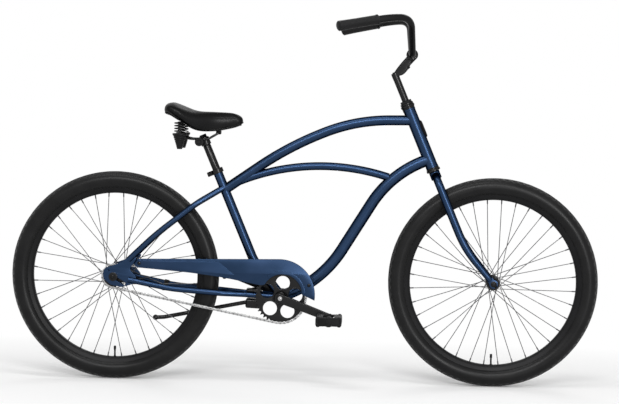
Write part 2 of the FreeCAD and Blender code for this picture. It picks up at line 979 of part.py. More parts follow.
def make_hub(axle, spread, flange_radius, barrel_radius, shell_half):
    """Hub shell with two flanges, running on the axle's cones."""
    half = flange_thickness / 2
    end = ACROSS * shell_half
    pieces = [prism(axle - end, axle + end, clear_radius(barrel_radius, disc_sides), disc_sides)]
    for side in SIDES:
        near = axle + ACROSS * (side * (spread - half))
        far = axle + ACROSS * (side * (spread + half))
        pieces.append(prism(near, far, clear_radius(flange_radius, disc_sides), disc_sides))
    reach = ACROSS * (shell_half + overrun)
    return fused(pieces).cut(prism(axle - reach, axle + reach, cone_bore, disc_sides))


cone_bore = clear_radius(cone_radius + running_clearance, disc_sides)


def make_valve(axle):
    """Valve stem that stands inward from the bottom of the rim."""
    base = axle - UP * rim_inner_radius
    top = base + UP * valve_length
    cap = prism(top - UP * valve_cap_length, top, valve_cap_radius, bar_sides)
    return fused([prism(base, top, valve_radius, bar_sides), cap])


# Chain and toothed wheels
run_ahead = unit(bracket - rear_axle)
run_up = unit(run_ahead.cross(ACROSS))
chain_lean = math.asin((ring_pitch_radius - sprocket_pitch_radius) / stay_span)
top_normal = run_up * math.cos(chain_lean) - run_ahead * math.sin(chain_lean)
low_normal = run_up * -math.cos(chain_lean) - run_ahead * math.sin(chain_lean)
top_angle = math.degrees(math.atan2(top_normal.z, top_normal.x))
low_angle = math.degrees(math.atan2(low_normal.z, low_normal.x))
run_pitches = stay_span * math.cos(chain_lean) / chain_pitch
ring_pitches = ring_teeth * (math.pi + 2 * chain_lean) / (2 * math.pi)
ring_step = FULL / ring_teeth
sprocket_step = FULL / sprocket_teeth
ring_phase = top_angle + run_pitches * ring_step
sprocket_phase = low_angle + (2 * run_pitches + ring_pitches) * sprocket_step


def chain_pin(number):
    """Place of a chain pin, counted from the top of the sprocket forward round the loop."""
    if number < run_pitches:
        start = rear_axle + top_normal * sprocket_pitch_radius
        heading = unit(bracket + top_normal * ring_pitch_radius - start)
        return start + heading * (number * chain_pitch)
    if number < run_pitches + ring_pitches:
        return polar(bracket, ring_pitch_radius, ring_phase - number * ring_step)
    if number < 2 * run_pitches + ring_pitches:
        start = bracket + low_normal * ring_pitch_radius
        heading = unit(rear_axle + low_normal * sprocket_pitch_radius - start)
        return start + heading * ((number - run_pitches - ring_pitches) * chain_pitch)
    return polar(rear_axle, sprocket_pitch_radius, sprocket_phase - number * sprocket_step)


def make_chain():
    """Links in turn narrow and wide, with a roller on each pin."""
    solids = []
    pins = [chain_pin(number) for number in range(chain_links)]
    for number, pin in enumerate(pins):
        after = pins[(number + 1) % chain_links]
        along = unit(after - pin)
        rise = along.cross(ACROSS) * plate_half_height
        tail = pin - along * plate_end
        nose = after + along * plate_end
        outline = polygon([tail + rise, nose + rise, nose - rise, tail - rise])
        inside = chain_inside_half + (plate_thickness if number % 2 else 0)
        for side in SIDES:
            first = -chain_line + side * inside
            solids.append(plate(outline, first, first + side * plate_thickness))
        half = ACROSS * chain_inside_half
        middle = pin - ACROSS * chain_line
        solids.append(prism(middle - half, middle + half, roller_radius, roller_sides))
    return Part.makeCompound(solids)


def toothed_outline(centre, teeth, pitch_radius, phase):
    """Outline with a valley for each roller and a pointed tooth between each two."""
    step = FULL / teeth
    bottom = pitch_radius - valley_depth
    spread = math.degrees(valley_half / bottom)
    points = []
    for number in range(teeth):
        angle = phase + number * step
        points.append(polar(centre, bottom, angle - spread))
        points.append(polar(centre, bottom, angle + spread))
        points.append(polar(centre, pitch_radius + tooth_height, angle + step / 2))
    return polygon(points)


def make_chainring():
    """Chainring with a ring of round windows, seated on the right crank boss."""
    half = ring_thickness / 2
    outline = toothed_outline(bracket, ring_teeth, ring_pitch_radius, ring_phase)
    solid = plate(outline, -chain_line - half, -chain_line + half)
    reach = ACROSS * (half + overrun)
    middle = bracket - ACROSS * chain_line
    solid = solid.cut(prism(middle - reach, middle + reach, boss_radius, ring_sides))
    for number in range(ring_hole_count):
        hole = polar(middle, ring_hole_circle, ring_hole_phase + number * FULL / ring_hole_count)
        solid = solid.cut(prism(hole - reach, hole + reach, ring_hole_radius, disc_sides))
    return solid


def make_sprocket():
    """Rear sprocket with its driver, which turns on the axle's right cone."""
    half = ring_thickness / 2
    teeth = toothed_outline(rear_axle, sprocket_teeth, sprocket_pitch_radius, sprocket_phase)
    solid = plate(teeth, -chain_line - half, -chain_line + half)
    inner_end = rear_axle - ACROSS * (rear_shell_half + moving_gap)
    outer_end = rear_axle - ACROSS * driver_end
    driver = prism(inner_end, outer_end, driver_radius, ring_sides)
    bore = prism(inner_end + ACROSS * overrun, outer_end - ACROSS * overrun, cone_bore, disc_sides)
    return fused([solid, driver]).cut(bore)


def make_spindle():
    half = ACROSS * spindle_half
    return prism(bracket - half, bracket + half, spindle_radius, ring_sides)


def crank_place(side):
    """Right arm ahead and down, left arm opposite."""
    turn = crank_dip if side < 0 else crank_dip + 2 * QUARTER
    return FreeCAD.Placement(bracket, FreeCAD.Rotation(ACROSS, turn))


def make_crank_arm(side):
    """Tapered arm with a boss on the spindle and the pedal's spindle at its far end."""
    place = crank_place(side)
    eye = place.multVec(v(crank_length, 0, 0))
    along = ACROSS * side
    corners = [
        flat(0, arm_root_half),
        flat(crank_length, arm_tip_half),
        flat(crank_length, -arm_tip_half),
        flat(0, -arm_root_half),
    ]
    inside = side * arm_inside
    outside = side * (arm_inside + arm_thickness)
    bar = plate(polygon([place.multVec(corner) for corner in corners]), inside, outside)
    boss = prism(bracket + along * boss_inside, bracket + along * boss_outside, boss_radius, ring_sides)
    tip_radius = clear_radius(arm_tip_half, ring_sides)
    tip = prism(eye + ACROSS * inside, eye + ACROSS * outside, tip_radius, ring_sides)
    end = along * (pedal_inside + pedal_width - pedal_plate_thickness)
    pin = prism(eye + ACROSS * inside, eye + end, pedal_spindle_radius, bar_sides)
    bore = prism(bracket, bracket + along * spindle_half, spindle_radius, ring_sides)
    return largest(fused([bar, boss, tip, pin]).cut(bore))


def make_pedal(side):
    """Block pedal: barrel on the spindle, two end plates and two ribbed treads."""
    eye = crank_place(side).multVec(v(crank_length, 0, 0))
    start = side * (pedal_inside + moving_gap)
    end = side * (pedal_inside + pedal_width)
    wall = side * pedal_plate_thickness
    length = pedal_length / 2
    height = pedal_height / 2

    def cheek(near, far):
        short = length - pedal_chamfer
        low = height - pedal_chamfer
        corners = []
        for fore, up in ((1, 1), (-1, 1), (-1, -1), (1, -1)):
            pair = [flat(fore * length, up * low), flat(fore * short, up * height)]
            corners += pair if fore * up > 0 else pair[::-1]
        return plate(polygon([eye + corner for corner in corners]), near, far)

    def tread(fore):
        rib = pedal_block_length / 5
        floor = height - pedal_rib_height
        levels = (height, floor, height, floor, height)
        top = []
        for number, level in enumerate(levels):
            top += [(number * rib, level), ((number + 1) * rib, level)]
        under = [(x, -z) for x, z in reversed(top)]
        corners = [eye + flat(fore * (length - x), z) for x, z in top + under]
        return plate(polygon(corners), start + wall, end - wall)

    barrel = prism(eye + ACROSS * start, eye + ACROSS * end, pedal_barrel_radius, disc_sides)
    body = fused([barrel, cheek(start, start + wall), cheek(end - wall, end), tread(1), tread(-1)])
    bore_start = eye + ACROSS * (start - side * overrun)
    bore_end = eye + ACROSS * (end - wall + side * moving_gap)
    bore_radius = clear_radius(pedal_spindle_radius + pedal_clearance, bar_sides)
    return largest(body.cut(prism(bore_start, bore_end, bore_radius, bar_sides)))


# Chain guard
guard_centre = bracket + flat(-guard_centre_back, guard_centre_up)
guard_tail = rear_axle + flat(guard_tail_ahead, guard_tail_above)


def ring_band(inner, outer, first, last):
    """Closed outline of part of a ring round the guard's centre."""
    middle = (first + last) / 2
    return [
        arc(*[polar(guard_centre, outer, angle) for angle in (first, middle, last)]),
        line(polar(guard_centre, outer, last), polar(guard_centre, inner, last)),
        arc(*[polar(guard_centre, inner, angle) for angle in (last, middle, first)]),
        line(polar(guard_centre, inner, first), polar(guard_centre, outer, first)),
    ]


def make_guard():
    """Pressed plate over the chain: straight tail, round nose, raised band and a turned-in top edge."""
    top = polar(guard_centre, guard_outer_radius, QUARTER)
    nose = polar(guard_centre, guard_outer_radius, guard_nose_angle)
    nose_middle = polar(guard_centre, guard_outer_radius, (QUARTER + guard_nose_angle) / 2)
    lip = polar(guard_centre, guard_inner_radius, guard_lip_angle)
    heel = polar(guard_centre, guard_inner_radius, guard_heel_angle)
    arch = polar(guard_centre, guard_inner_radius, (guard_lip_angle + guard_heel_angle) / 2)
    waist = part_way(guard_tail, guard_centre, guard_waist_shares)
    tail_top = guard_tail + UP * guard_tail_radius
    tail_low = guard_tail - UP * guard_tail_radius
    outline = [
        line(tail_top, top),
        arc(top, nose_middle, nose),
        line(nose, lip),
        arc(lip, arch, heel),
        line(heel, waist),
        line(waist, tail_low),
        arc(tail_low, guard_tail - AHEAD * guard_tail_radius, tail_top),
    ]
    outer_y = -guard_inside - guard_thickness
    inner_y = -guard_inside + guard_flange_depth
    sheet = plate(outline, -guard_inside, outer_y)
    band_top = guard_inner_radius + guard_band_width
    raised = ring_band(guard_inner_radius, band_top, guard_lip_angle, guard_band_end)
    band = plate(raised, outer_y, outer_y - guard_band_proud)
    turned_in = ring_band(guard_outer_radius - guard_thickness, guard_outer_radius, guard_nose_angle, QUARTER)
    hem = plate(turned_in, -guard_inside, inner_y)
    sunk = UP * guard_thickness
    edge = plate(polygon([tail_top, top, top - sunk, tail_top - sunk]), -guard_inside, inner_y)
    return fused([sheet, band, hem, edge])


def make_guard_brackets(stay, down_tube):
    """Strap from the right seat stay and post on the down tube, which hold the guard."""
    path = seat_stay_path(-1)
    heading = unit(path[3] - path[2])
    nearest = path[2] + heading * ((guard_tail - path[2]).dot(heading))
    top = flat(nearest.x, nearest.z)
    rise = unit(top - guard_tail)
    width = ACROSS.cross(rise) * (strap_width / 2)
    foot = guard_tail - rise * (strap_width / 2)
    corners = [foot + width, top + width, top - width, foot - width]
    strap = plate(polygon(corners), -guard_inside, -guard_inside + strap_thickness)
    post_root = bracket + flat(guard_post_ahead, guard_post_above)
    post = prism(post_root, post_root - ACROSS * guard_inside, guard_post_radius, bar_sides)
    return Part.makeCompound([coped(strap, [stay]), coped(post, [down_tube])])


# Kickstand
stand_run = chain_stay_path(1)
stand_slope = unit(flat(stand_run[4].x - stand_run[3].x, stand_run[4].z - stand_run[3].z))
stand_rise = ACROSS.cross(stand_slope) * -1
stand_centre = bracket - stand_slope * stand_behind
stand_pivot = stand_centre - stand_rise * (stay_radius + stand_pivot_below) + ACROSS * stand_block_left
stand_axis = FreeCAD.Rotation(AHEAD, stand_lean).multVec(ACROSS)


def stand_slab(low, high, right, left):
    """Block along the chain stays, by its depth below and above their middle line."""
    half = stand_slope * (stand_block_length / 2)
    corners = [
        stand_centre - half + stand_rise * low,
        stand_centre + half + stand_rise * low,
        stand_centre + half + stand_rise * high,
        stand_centre - half + stand_rise * high,
    ]
    return plate(polygon(corners), -right, left)


def make_stand_mount(stays):
    """Block under the chain stays with a plate above, a bolt through both and the stand's pivot pin."""
    seat_depth = stay_radius - moving_gap
    block = stand_slab(-stay_radius - stand_block_below, -seat_depth, stand_block_right, stand_block_left)
    cover = stand_slab(seat_depth, stay_radius + stand_plate_thickness, stand_plate_half, stand_plate_half)
    bolt_top = stand_centre + stand_rise * (stay_radius + stand_plate_thickness)
    bolt = prism(stand_centre - stand_rise * (stay_radius * 2), bolt_top, stand_bolt_radius, bar_sides)
    head = prism(bolt_top, bolt_top + stand_rise * stand_bolt_radius, stand_bolt_head, 6)
    pin_root = stand_pivot - stand_axis * stand_bolt_head
    pin = rod(pin_root, stand_pivot + stand_axis * stand_pin_reach, stand_pin_radius)
    return coped(fused([block, cover, bolt, head, pin]), stays)


def make_stand():
    """Leg folded back beside the tyre, on a barrel round the pivot pin."""
    far = stand_pivot + stand_axis * stand_pin_reach
    near = far - stand_axis * stand_barrel_width
    barrel = prism(near, far, clear_radius(stand_barrel_radius, disc_sides), disc_sides)
    middle = (near + far) * 0.5
    dip = math.radians(stand_leg_dip)
    kick = math.radians(stand_leg_dip - stand_foot_kick)
    heading = v(-math.cos(dip), 0, -math.sin(dip))
    ankle = middle + heading * (stand_leg_length - stand_foot_length)
    toe = ankle + v(-math.cos(kick), 0, -math.sin(kick)) * stand_foot_length
    leg = bent_rod([middle, ankle, toe], [stand_foot_bend], stand_leg_radius)
    reach = stand_axis * stand_barrel_width
    bore = rod(near - reach, far + reach, clear_radius(stand_pin_radius + running_clearance, tube_sides))
    return fused([barrel, leg]).cut(bore)


# Coaster brake arm
brake_tip = polar(rear_axle, brake_arm_length, -brake_arm_dip)


def make_brake_arm():
    """Brake cover on the left end of the hub, with an arm that reaches forward under the left stay."""
    along = unit(brake_tip - rear_axle)
    up = along.cross(ACROSS)
    root = up * (brake_arm_width / 2)
    end = up * (brake_arm_tip_width / 2)
    blunt = brake_tip + along * (brake_arm_tip_width / 2)
    narrow = end / 2
    upper = [rear_axle + root, brake_tip + end, blunt + narrow]
    lower = [blunt - narrow, brake_tip - end, rear_axle - root]
    corners = upper + lower
    outside = brake_arm_inside + brake_arm_thickness
    bar = plate(polygon(corners), brake_arm_inside, outside)
    inner = rear_axle + ACROSS * (rear_shell_half + moving_gap)
    outer = rear_axle + ACROSS * outside
    cover = prism(inner, outer, brake_disc_radius, ring_sides)
    reach = ACROSS * overrun
    return fused([bar, cover]).cut(prism(inner - reach, outer + reach, cone_radius, disc_sides))


def make_brake_clip(stay):
    """Strap round the left chain stay, screwed to the end of the brake arm."""
    path = chain_stay_path(1)
    heading = unit(path[1] - path[0])
    middle = path[0] + heading * ((brake_tip - path[0]).dot(heading))
    half = heading * (clip_width / 2)
    ring_radius = clear_radius(stay_radius + clip_thickness, disc_sides)
    ring = prism(middle - half, middle + half, ring_radius, disc_sides)
    inside = brake_arm_inside + brake_arm_thickness
    edge = AHEAD * (clip_width / 2)
    crown = flat(brake_tip.x, middle.z)
    foot = brake_tip - UP * (brake_arm_tip_width / 2)
    corners = [crown + edge, foot + edge, foot - edge, crown - edge]
    tab = plate(polygon(corners), inside, inside + clip_thickness)
    return largest(fused([ring, tab]).cut(stay))


# Stem and handlebar
bar_centre = steer(stem_reach, 0, stem_elbow + stem_rise)
stem_slope = math.atan2(stem_rise, stem_reach)
stem_along = steer_ahead * math.cos(stem_slope) + steer_up * math.sin(stem_slope)
stem_above = steer_up * math.cos(stem_slope) - steer_ahead * math.sin(stem_slope)


def make_stem():
    """Quill with a forged extension up to a split bar clamp, whose tail is drawn up from below."""
    quill = rod(steer(0, 0, quill_low), steer(0, 0, stem_elbow), quill_radius)
    throat = stem_elbow - stem_throat_height
    corners = [
        steer(-quill_radius, 0, throat),
        steer(-quill_radius, 0, stem_elbow + stem_back_height),
        bar_centre + stem_above * stem_neck_above,
        bar_centre - stem_above * stem_neck_below,
        steer(quill_radius, 0, throat),
    ]
    arm = plate(polygon(corners), -stem_half_width, stem_half_width)
    half = ACROSS * clamp_half_width
    barrel = rod(bar_centre - half, bar_centre + half, clamp_radius)
    ear_top = bar_centre - stem_above * (clamp_radius - clamp_ear_thickness)
    ear_low = bar_centre - stem_above * clamp_radius
    back = stem_along * clamp_ear_length
    ear_corners = [ear_top, ear_top - back, ear_low - back, ear_low]
    ear = plate(polygon(ear_corners), -stem_half_width, stem_half_width)
    bore_radius = clear_radius(bar_sleeve_radius + running_clearance, tube_sides)
    bore = rod(bar_centre - half * 2, bar_centre + half * 2, bore_radius)
    slit_low = ear_top
    slit_high = ear_top + stem_above * clamp_slit
    deep = stem_along * (clamp_ear_length + overrun)
    slit = plate(
        polygon([slit_high, slit_high - deep, slit_low - deep, slit_low]),
        -clamp_half_width - overrun,
        clamp_half_width + overrun,
    )
    well_top = steer(0, 0, stem_elbow + stem_rise)
    well = prism(well_top, steer(0, 0, stem_elbow - expander_head_height), expander_head_radius, disc_sides)
    hole = prism(well_top, steer(0, 0, quill_low - overrun), expander_radius, bar_sides)
    whole = fused([quill, arm, barrel, ear])
    return largest(whole.cut(bore).cut(slit).cut(well).cut(hole).cut(wedge_side(-1)))


def wedge_side(side):
    """Half of the space round the quill's slanted end: below the slant, or above it."""
    wide = 2 * quill_radius
    far = quill_low + side * (wedge_length + stem_drop)
    corners = [
        steer(-wide, 0, quill_low + wedge_slope),
        steer(wide, 0, quill_low - wedge_slope),
        steer(wide, 0, far),
        steer(-wide, 0, far),
    ]
    return plate(polygon(corners), -wide, wide)


def make_stem_bolts():
    """Expander bolt with its wedge, and the clamp's pinch bolt."""
    low = steer(0, 0, quill_low - wedge_length)
    floor = steer(0, 0, stem_elbow - expander_head_height)
    head = prism(floor, steer(0, 0, stem_elbow), expander_head_radius, disc_sides)
    shank = prism(low, floor, expander_radius, bar_sides)
    wedge = prism(low, steer(0, 0, quill_low + wedge_slope), quill_radius, tube_sides).cut(wedge_side(1))
    place = bar_centre - stem_along * (clamp_ear_length - pinch_head_radius) - stem_above * clamp_radius
    pinch = prism(place, place - stem_above * pinch_head_height, pinch_head_radius, bar_sides)
    return Part.makeCompound([fused([head, shank, wedge]), pinch])


def bar_path(side):
    """Half of the handlebar, from its middle to the grip's end."""
    return [
        bar_centre,
        bar_centre + ACROSS * (side * bar_root_spread),
        bar_centre + v(-bar_crown_set_back, side * bar_crown_spread, bar_crown_rise),
        bar_centre + v(-bar_sweep_set_back, side * bar_sweep_spread, bar_sweep_rise),
        bar_centre + v(-bar_end_set_back, side * bar_end_spread, bar_end_rise),
    ]


def make_handlebar():
    """Riser bar swept back to the grips, with a thicker sleeve in the clamp."""
    bends = [bar_root_bend, bar_crown_bend, bar_sweep_bend]
    whole = bar_path(-1)[::-1][:-1] + bar_path(1)[1:]
    bar = bent_rod(whole, bends[::-1] + bends, bar_radius, disc_sides)
    half = ACROSS * bar_sleeve_half
    return fused([bar, rod(bar_centre - half, bar_centre + half, bar_sleeve_radius)])


def make_grip(side, handlebar):
    """Closed-end grip with a flange at its inner end."""
    path = bar_path(side)
    inward = unit(path[3] - path[4])
    end = path[4] - inward * grip_cap_length
    lip = path[4] + inward * (grip_length - grip_flange_length)
    mouth = path[4] + inward * grip_length
    body = prism(end, mouth, grip_radius, ring_sides)
    flange = prism(lip, mouth, grip_flange_radius, ring_sides)
    return largest(fused([body, flange]).cut(handlebar))


# Seat post, clamp and saddle
neck_low = seat_tube_length + post_exposed
post_top = neck_low + post_neck_length
cross_point = seat(0, 0, neck_low + cross_height) - AHEAD * cross_set_back


def make_post():
    foot = seat(0, 0, seat_tube_length - post_insert)
    run = seat(0, 0, neck_low) - foot
    body = Part.makeCylinder(post_radius, run.Length, foot, run)
    neck = prism(seat(0, 0, neck_low), seat(0, 0, post_top), post_neck_radius, ring_sides)
    return fused([body, neck])


def make_clamp():
    """Band round the post's neck, with a lug behind that carries the cross bolt and its nuts."""
    low = seat(0, 0, neck_low)
    high = low + seat_up * band_height
    ring = prism(low, high, clear_radius(band_radius, ring_sides), ring_sides)
    half = ACROSS * (disc_inside - moving_gap)
    lug = prism(cross_point - half, cross_point + half, band_radius - cross_radius, disc_sides)
    reach = ACROSS * (disc_inside + disc_thickness + moving_gap)
    nut = reach + ACROSS * cross_nut_height
    pieces = [ring, lug, prism(cross_point - reach, cross_point + reach, cross_radius, bar_sides)]
    for side in SIDES:
        pieces.append(prism(cross_point + reach * side, cross_point + nut * side, cross_nut_radius, 6))
    bore = prism(low - seat_up * overrun, high + seat_up * overrun, post_neck_radius, ring_sides)
    return largest(fused(pieces).cut(bore))


def cup_place(side):
    """Top of a spring cup."""
    return cross_point + v(-cup_set_back, side * cup_spread, cup_top_above)


def saddle_point(share_along, share_up):
    """Point of the saddle's middle plane, from the tail and the lowest hem."""
    tail = cross_point.x - saddle_rear_set_back
    floor = cross_point.z + saddle_floor_above
    return flat(tail + share_along * saddle_length, floor + share_up * saddle_depth)


nose_place = saddle_point(nose_share, nose_hem_share) - UP * (base_thickness + 2 * pivot_radius)


def make_rails(cups):
    """Two rails from the spring cups, through the clamp and up to a cross bar where the saddle rocks."""
    pieces = []
    pinch = cross_point + UP * rail_lift
    for side in SIDES:
        path = [
            cup_place(side) - UP * (2 * cup_rim_height),
            pinch + v(-rail_rear_run, side * rail_spread, 0),
            pinch + v(rail_front_run, side * rail_spread, 0),
            nose_place + ACROSS * (side * pivot_half_width),
        ]
        pieces.append(bent_rod(path, [rail_bend, rail_bend], rail_radius, bar_sides))
    half = ACROSS * (pivot_half_width + rail_radius)
    pieces.append(prism(nose_place - half, nose_place + half, rail_radius, bar_sides))
    return largest(fused(pieces).cut(cups))


def make_discs(rails):
    """Discs at both sides of the clamp, which pinch the rails."""
    solids = []
    bore_radius = clear_radius(cross_radius + running_clearance, bar_sides)
    for side in SIDES:
        start = cross_point + ACROSS * (side * disc_inside)
        end = start + ACROSS * (side * disc_thickness)
        past = ACROSS * (side * overrun)
        disc = prism(start, end, disc_radius, ring_sides)
        solids.append(largest(disc.cut(prism(start - past, end + past, bore_radius, bar_sides)).cut(rails)))
    return Part.makeCompound(solids)


def make_cups():
    """Inverted cone with a rim under each spring, at the rear end of its rail."""
    solids = []
    for side in SIDES:
        top = cup_place(side)
        seam = top - UP * cup_rim_height
        rim = prism(seam, top, cup_top_radius, ring_sides)
        foot = top - UP * cup_depth
        foot_ring = ring_of(foot, UP, cup_foot_radius, ring_sides)
        top_ring = ring_of(seam, UP, cup_top_radius - cup_lip, ring_sides)
        solids.append(fused([rim, skin([foot_ring, top_ring])]))
    return Part.makeCompound(solids)


def spring_point(angle):
    """Point of the coil's middle line at an angle from its start."""
    rise = spring_pitch * angle / (2 * math.pi)
    return v(spring_radius * math.cos(angle), spring_radius * math.sin(angle), rise)


def make_spring(side):
    """One unbroken coil that stands on its cup."""
    base = cup_place(side) + UP * (spring_wire + spring_gap)
    steps = range(spring_turns * spring_chords + 1)
    path = [base + spring_point(2 * math.pi * step / spring_chords) for step in steps]
    return tube_along(path, spring_wire, wire_sides)


def coil_gap():
    """Least gap between turns of a spring, measured on points along its wire."""
    steps = range(spring_turns * spring_chords + 1)
    places = [spring_point(2 * math.pi * step / spring_chords) for step in steps]
    pairs = [(a, b) for a in places for b in places[places.index(a) + spring_chords // 2 :]]
    return min((a - b).Length for a, b in pairs) - 2 * spring_wire


def saddle_rows():
    """Section shares along the saddle, with a rounded step between each two given ones."""
    rows = saddle_section_shares
    finer = []
    for number in range(len(rows) - 1):
        before = rows[max(number - 1, 0)]
        after = rows[min(number + 2, len(rows) - 1)]
        finer.append(rows[number])
        steps = zip(before, rows[number], rows[number + 1], after)
        finer.append(tuple((9 * (near + far) - ahead - behind) / 16 for behind, near, far, ahead in steps))
    return finer + [rows[-1]]


def saddle_section(shares):
    """Corners of a section across the saddle: rounded crown, drawn-in sides and a flat hem."""
    along, width, crown, shoulder, hem = shares
    half = width * saddle_width / 2
    hem_half = half * saddle_hem_share
    x = saddle_point(along, 0).x
    crown_z = saddle_point(along, crown).z
    shoulder_z = saddle_point(along, shoulder).z
    hem_z = saddle_point(along, hem).z
    waist = v(x, (half + hem_half) / 2 + (half - hem_half) / 4, (shoulder_z + hem_z) / 2)
    left = []
    for step in range(crown_steps):
        share = 1 - step / crown_steps
        left.append(v(x, half * share, shoulder_z + (crown_z - shoulder_z) * (1 - share**crown_power)))
    left.append(v(x, 0, crown_z))
    side = [v(x, hem_half, hem_z), waist] + left
    mirrored = [v(point.x, -point.y, point.z) for point in side[-2::-1]]
    return side + mirrored


def spring_pockets():
    """Round spaces under the saddle that take the tops of the springs."""
    high = 2 * spring_gap + 2 * spring_wire + spring_pitch * spring_turns
    radius = spring_radius + spring_wire + pocket_gap
    tops = [cup_place(side) for side in SIDES]
    return Part.makeCompound([prism(top, top + UP * high, radius, ring_sides) for top in tops])


def make_cushion():
    """Padded cover with a crowned, dished top, drawn-in sides and a pocket over each spring."""
    return largest(skin([saddle_section(shares) for shares in saddle_rows()]).cut(spring_pockets()))


def make_base():
    """Moulded base under the cover, with a boss over each spring and a block for the nose pivot."""
    rows = saddle_rows()[2:-2]
    hems = [saddle_point(row[0], row[4]) for row in rows]
    halves = [row[1] * saddle_width / 2 * saddle_hem_share * base_width_share for row in rows]
    lows = [hem - UP * base_thickness for hem in hems]
    sheet = plate(polygon(hems + lows[::-1]), -saddle_width, saddle_width)
    rim = [v(hem.x, half, 0) for hem, half in zip(hems, halves)]
    rim += [v(hem.x, -half, 0) for hem, half in zip(hems[::-1], halves[::-1])]
    outline = Part.Face(Part.makePolygon(rim + rim[:1])).extrude(UP * (2 * saddle_point(0, 1).z))
    high = saddle_point(0, 1)
    tail = saddle_point(-1, 1)
    nose = saddle_point(2, 1)
    above_corners = [tail, flat(tail.x, hems[0].z)] + hems + [flat(nose.x, hems[-1].z), nose]
    above = plate(polygon(above_corners), -saddle_width, saddle_width)
    pieces = [sheet.common(outline)]
    half = pivot_half_width - rail_radius - moving_gap
    corner = nose_place - v(2 * pivot_radius, half, 2 * pivot_radius)
    pieces.append(largest(Part.makeBox(4 * pivot_radius, 2 * half, high.z - corner.z, corner).cut(above)))
    reach = ACROSS * (pivot_half_width + overrun)
    bore_radius = clear_radius(rail_radius + running_clearance, bar_sides)
    bore = prism(nose_place - reach, nose_place + reach, bore_radius, bar_sides)
    return largest(fused(pieces).cut(bore).cut(spring_pockets()))


# Assembly
seat_core = make_seat_core()
top_tube = make_top_tube([head_core, seat_core])
down_tube = make_down_tube([head_core, seat_core])
mid_tube = make_mid_tube([top_tube, down_tube, seat_core])
dropouts = {side: make_dropout(side) for side in SIDES}
chain_stays = {side: make_chain_stay(side, [dropouts[side], seat_core, down_tube]) for side in SIDES}
seat_stays = {-1: make_seat_stay(-1, [dropouts[-1], seat_core, top_tube])}
seat_stays[1] = make_seat_stay(1, [dropouts[1], seat_core, top_tube, seat_stays[-1]])
crown = rod(steer(0, 0, collar_low), steer(0, 0, collar_top), collar_radius)
fork_blades = {-1: make_fork_blade(-1, crown)}
fork_blades[1] = make_fork_blade(1, fused([crown, fork_blades[-1]]))
cups = make_cups()
handlebar = make_handlebar()
rails = make_rails(cups)
front_rim = make_rim(front_axle)
rear_rim = make_rim(rear_axle)
front_hub_sizes = (front_flange_spread, front_flange_radius)
rear_hub_sizes = (rear_flange_spread, rear_flange_radius)

parts = {
    "head_tube": make_head_tube(),
    "top_tube": top_tube,
    "mid_tube": mid_tube,
    "down_tube": down_tube,
    "seat_tube": make_seat_tube(seat_core),
    "right_chain_stay": chain_stays[-1],
    "left_chain_stay": chain_stays[1],
    "right_seat_stay": seat_stays[-1],
    "left_seat_stay": seat_stays[1],
    "right_dropout": dropouts[-1],
    "left_dropout": dropouts[1],
    "head_badge": make_badge(),
    "seat_collar": make_seat_collar(seat_core),
    "headset_locknut": make_locknut(),
    "fork_steerer": make_steerer(),
    "right_fork_blade": fork_blades[-1],
    "left_fork_blade": fork_blades[1],
    "front_axle": make_axle(front_axle, front_hub_inside, fork_tab_thickness),
    "front_tyre": make_tyre(front_axle),
    "front_rim": front_rim,
    "front_spokes": make_spokes(front_axle, front_rim, *front_hub_sizes),
    "front_hub": make_hub(front_axle, *front_hub_sizes, front_barrel_radius, front_shell_half),
    "front_valve": make_valve(front_axle),
    "rear_axle": make_axle(rear_axle, dropout_inside, dropout_thickness),
    "rear_tyre": make_tyre(rear_axle),
    "rear_rim": rear_rim,
    "rear_spokes": make_spokes(rear_axle, rear_rim, *rear_hub_sizes),
    "rear_hub": make_hub(rear_axle, *rear_hub_sizes, rear_barrel_radius, rear_shell_half),
    "rear_valve": make_valve(rear_axle),
    "rear_sprocket": make_sprocket(),
    "brake_arm": make_brake_arm(),
    "brake_arm_clip": make_brake_clip(chain_stays[1]),
    "crank_spindle": make_spindle(),
    "chainring": make_chainring(),
    "right_crank_arm": make_crank_arm(-1),
    "left_crank_arm": make_crank_arm(1),
    "right_pedal": make_pedal(-1),
    "left_pedal": make_pedal(1),
    "chain": make_chain(),
    "chain_guard": make_guard(),
    "guard_brackets": make_guard_brackets(seat_stays[-1], down_tube),
    "kickstand_mount": make_stand_mount(chain_stays.values()),
    "kickstand": make_stand(),
    "stem": make_stem(),
    "stem_bolts": make_stem_bolts(),
    "handlebar": handlebar,
    "right_grip": make_grip(-1, handlebar),
    "left_grip": make_grip(1, handlebar),
    "seat_post": make_post(),
    "saddle_clamp": make_clamp(),
    "saddle_clamp_discs": make_discs(rails),
    "saddle_rails": rails,
    "spring_cups": cups,
    "saddle_springs": Part.makeCompound([make_spring(side) for side in SIDES]),
    "saddle_base": make_base(),
    "saddle_cushion": make_cushion(),
}

os.makedirs("parts", exist_ok=True)
for node, shape in parts.items():
    shape.exportStep(f"parts/{node}.step")
print(f"least gap between spring turns {coil_gap():.2f} mm")
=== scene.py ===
"""Beach cruiser bicycle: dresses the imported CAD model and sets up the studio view."""

import json
import logging
import math
from dataclasses import dataclass
from enum import Enum
from typing import Iterable, Sequence

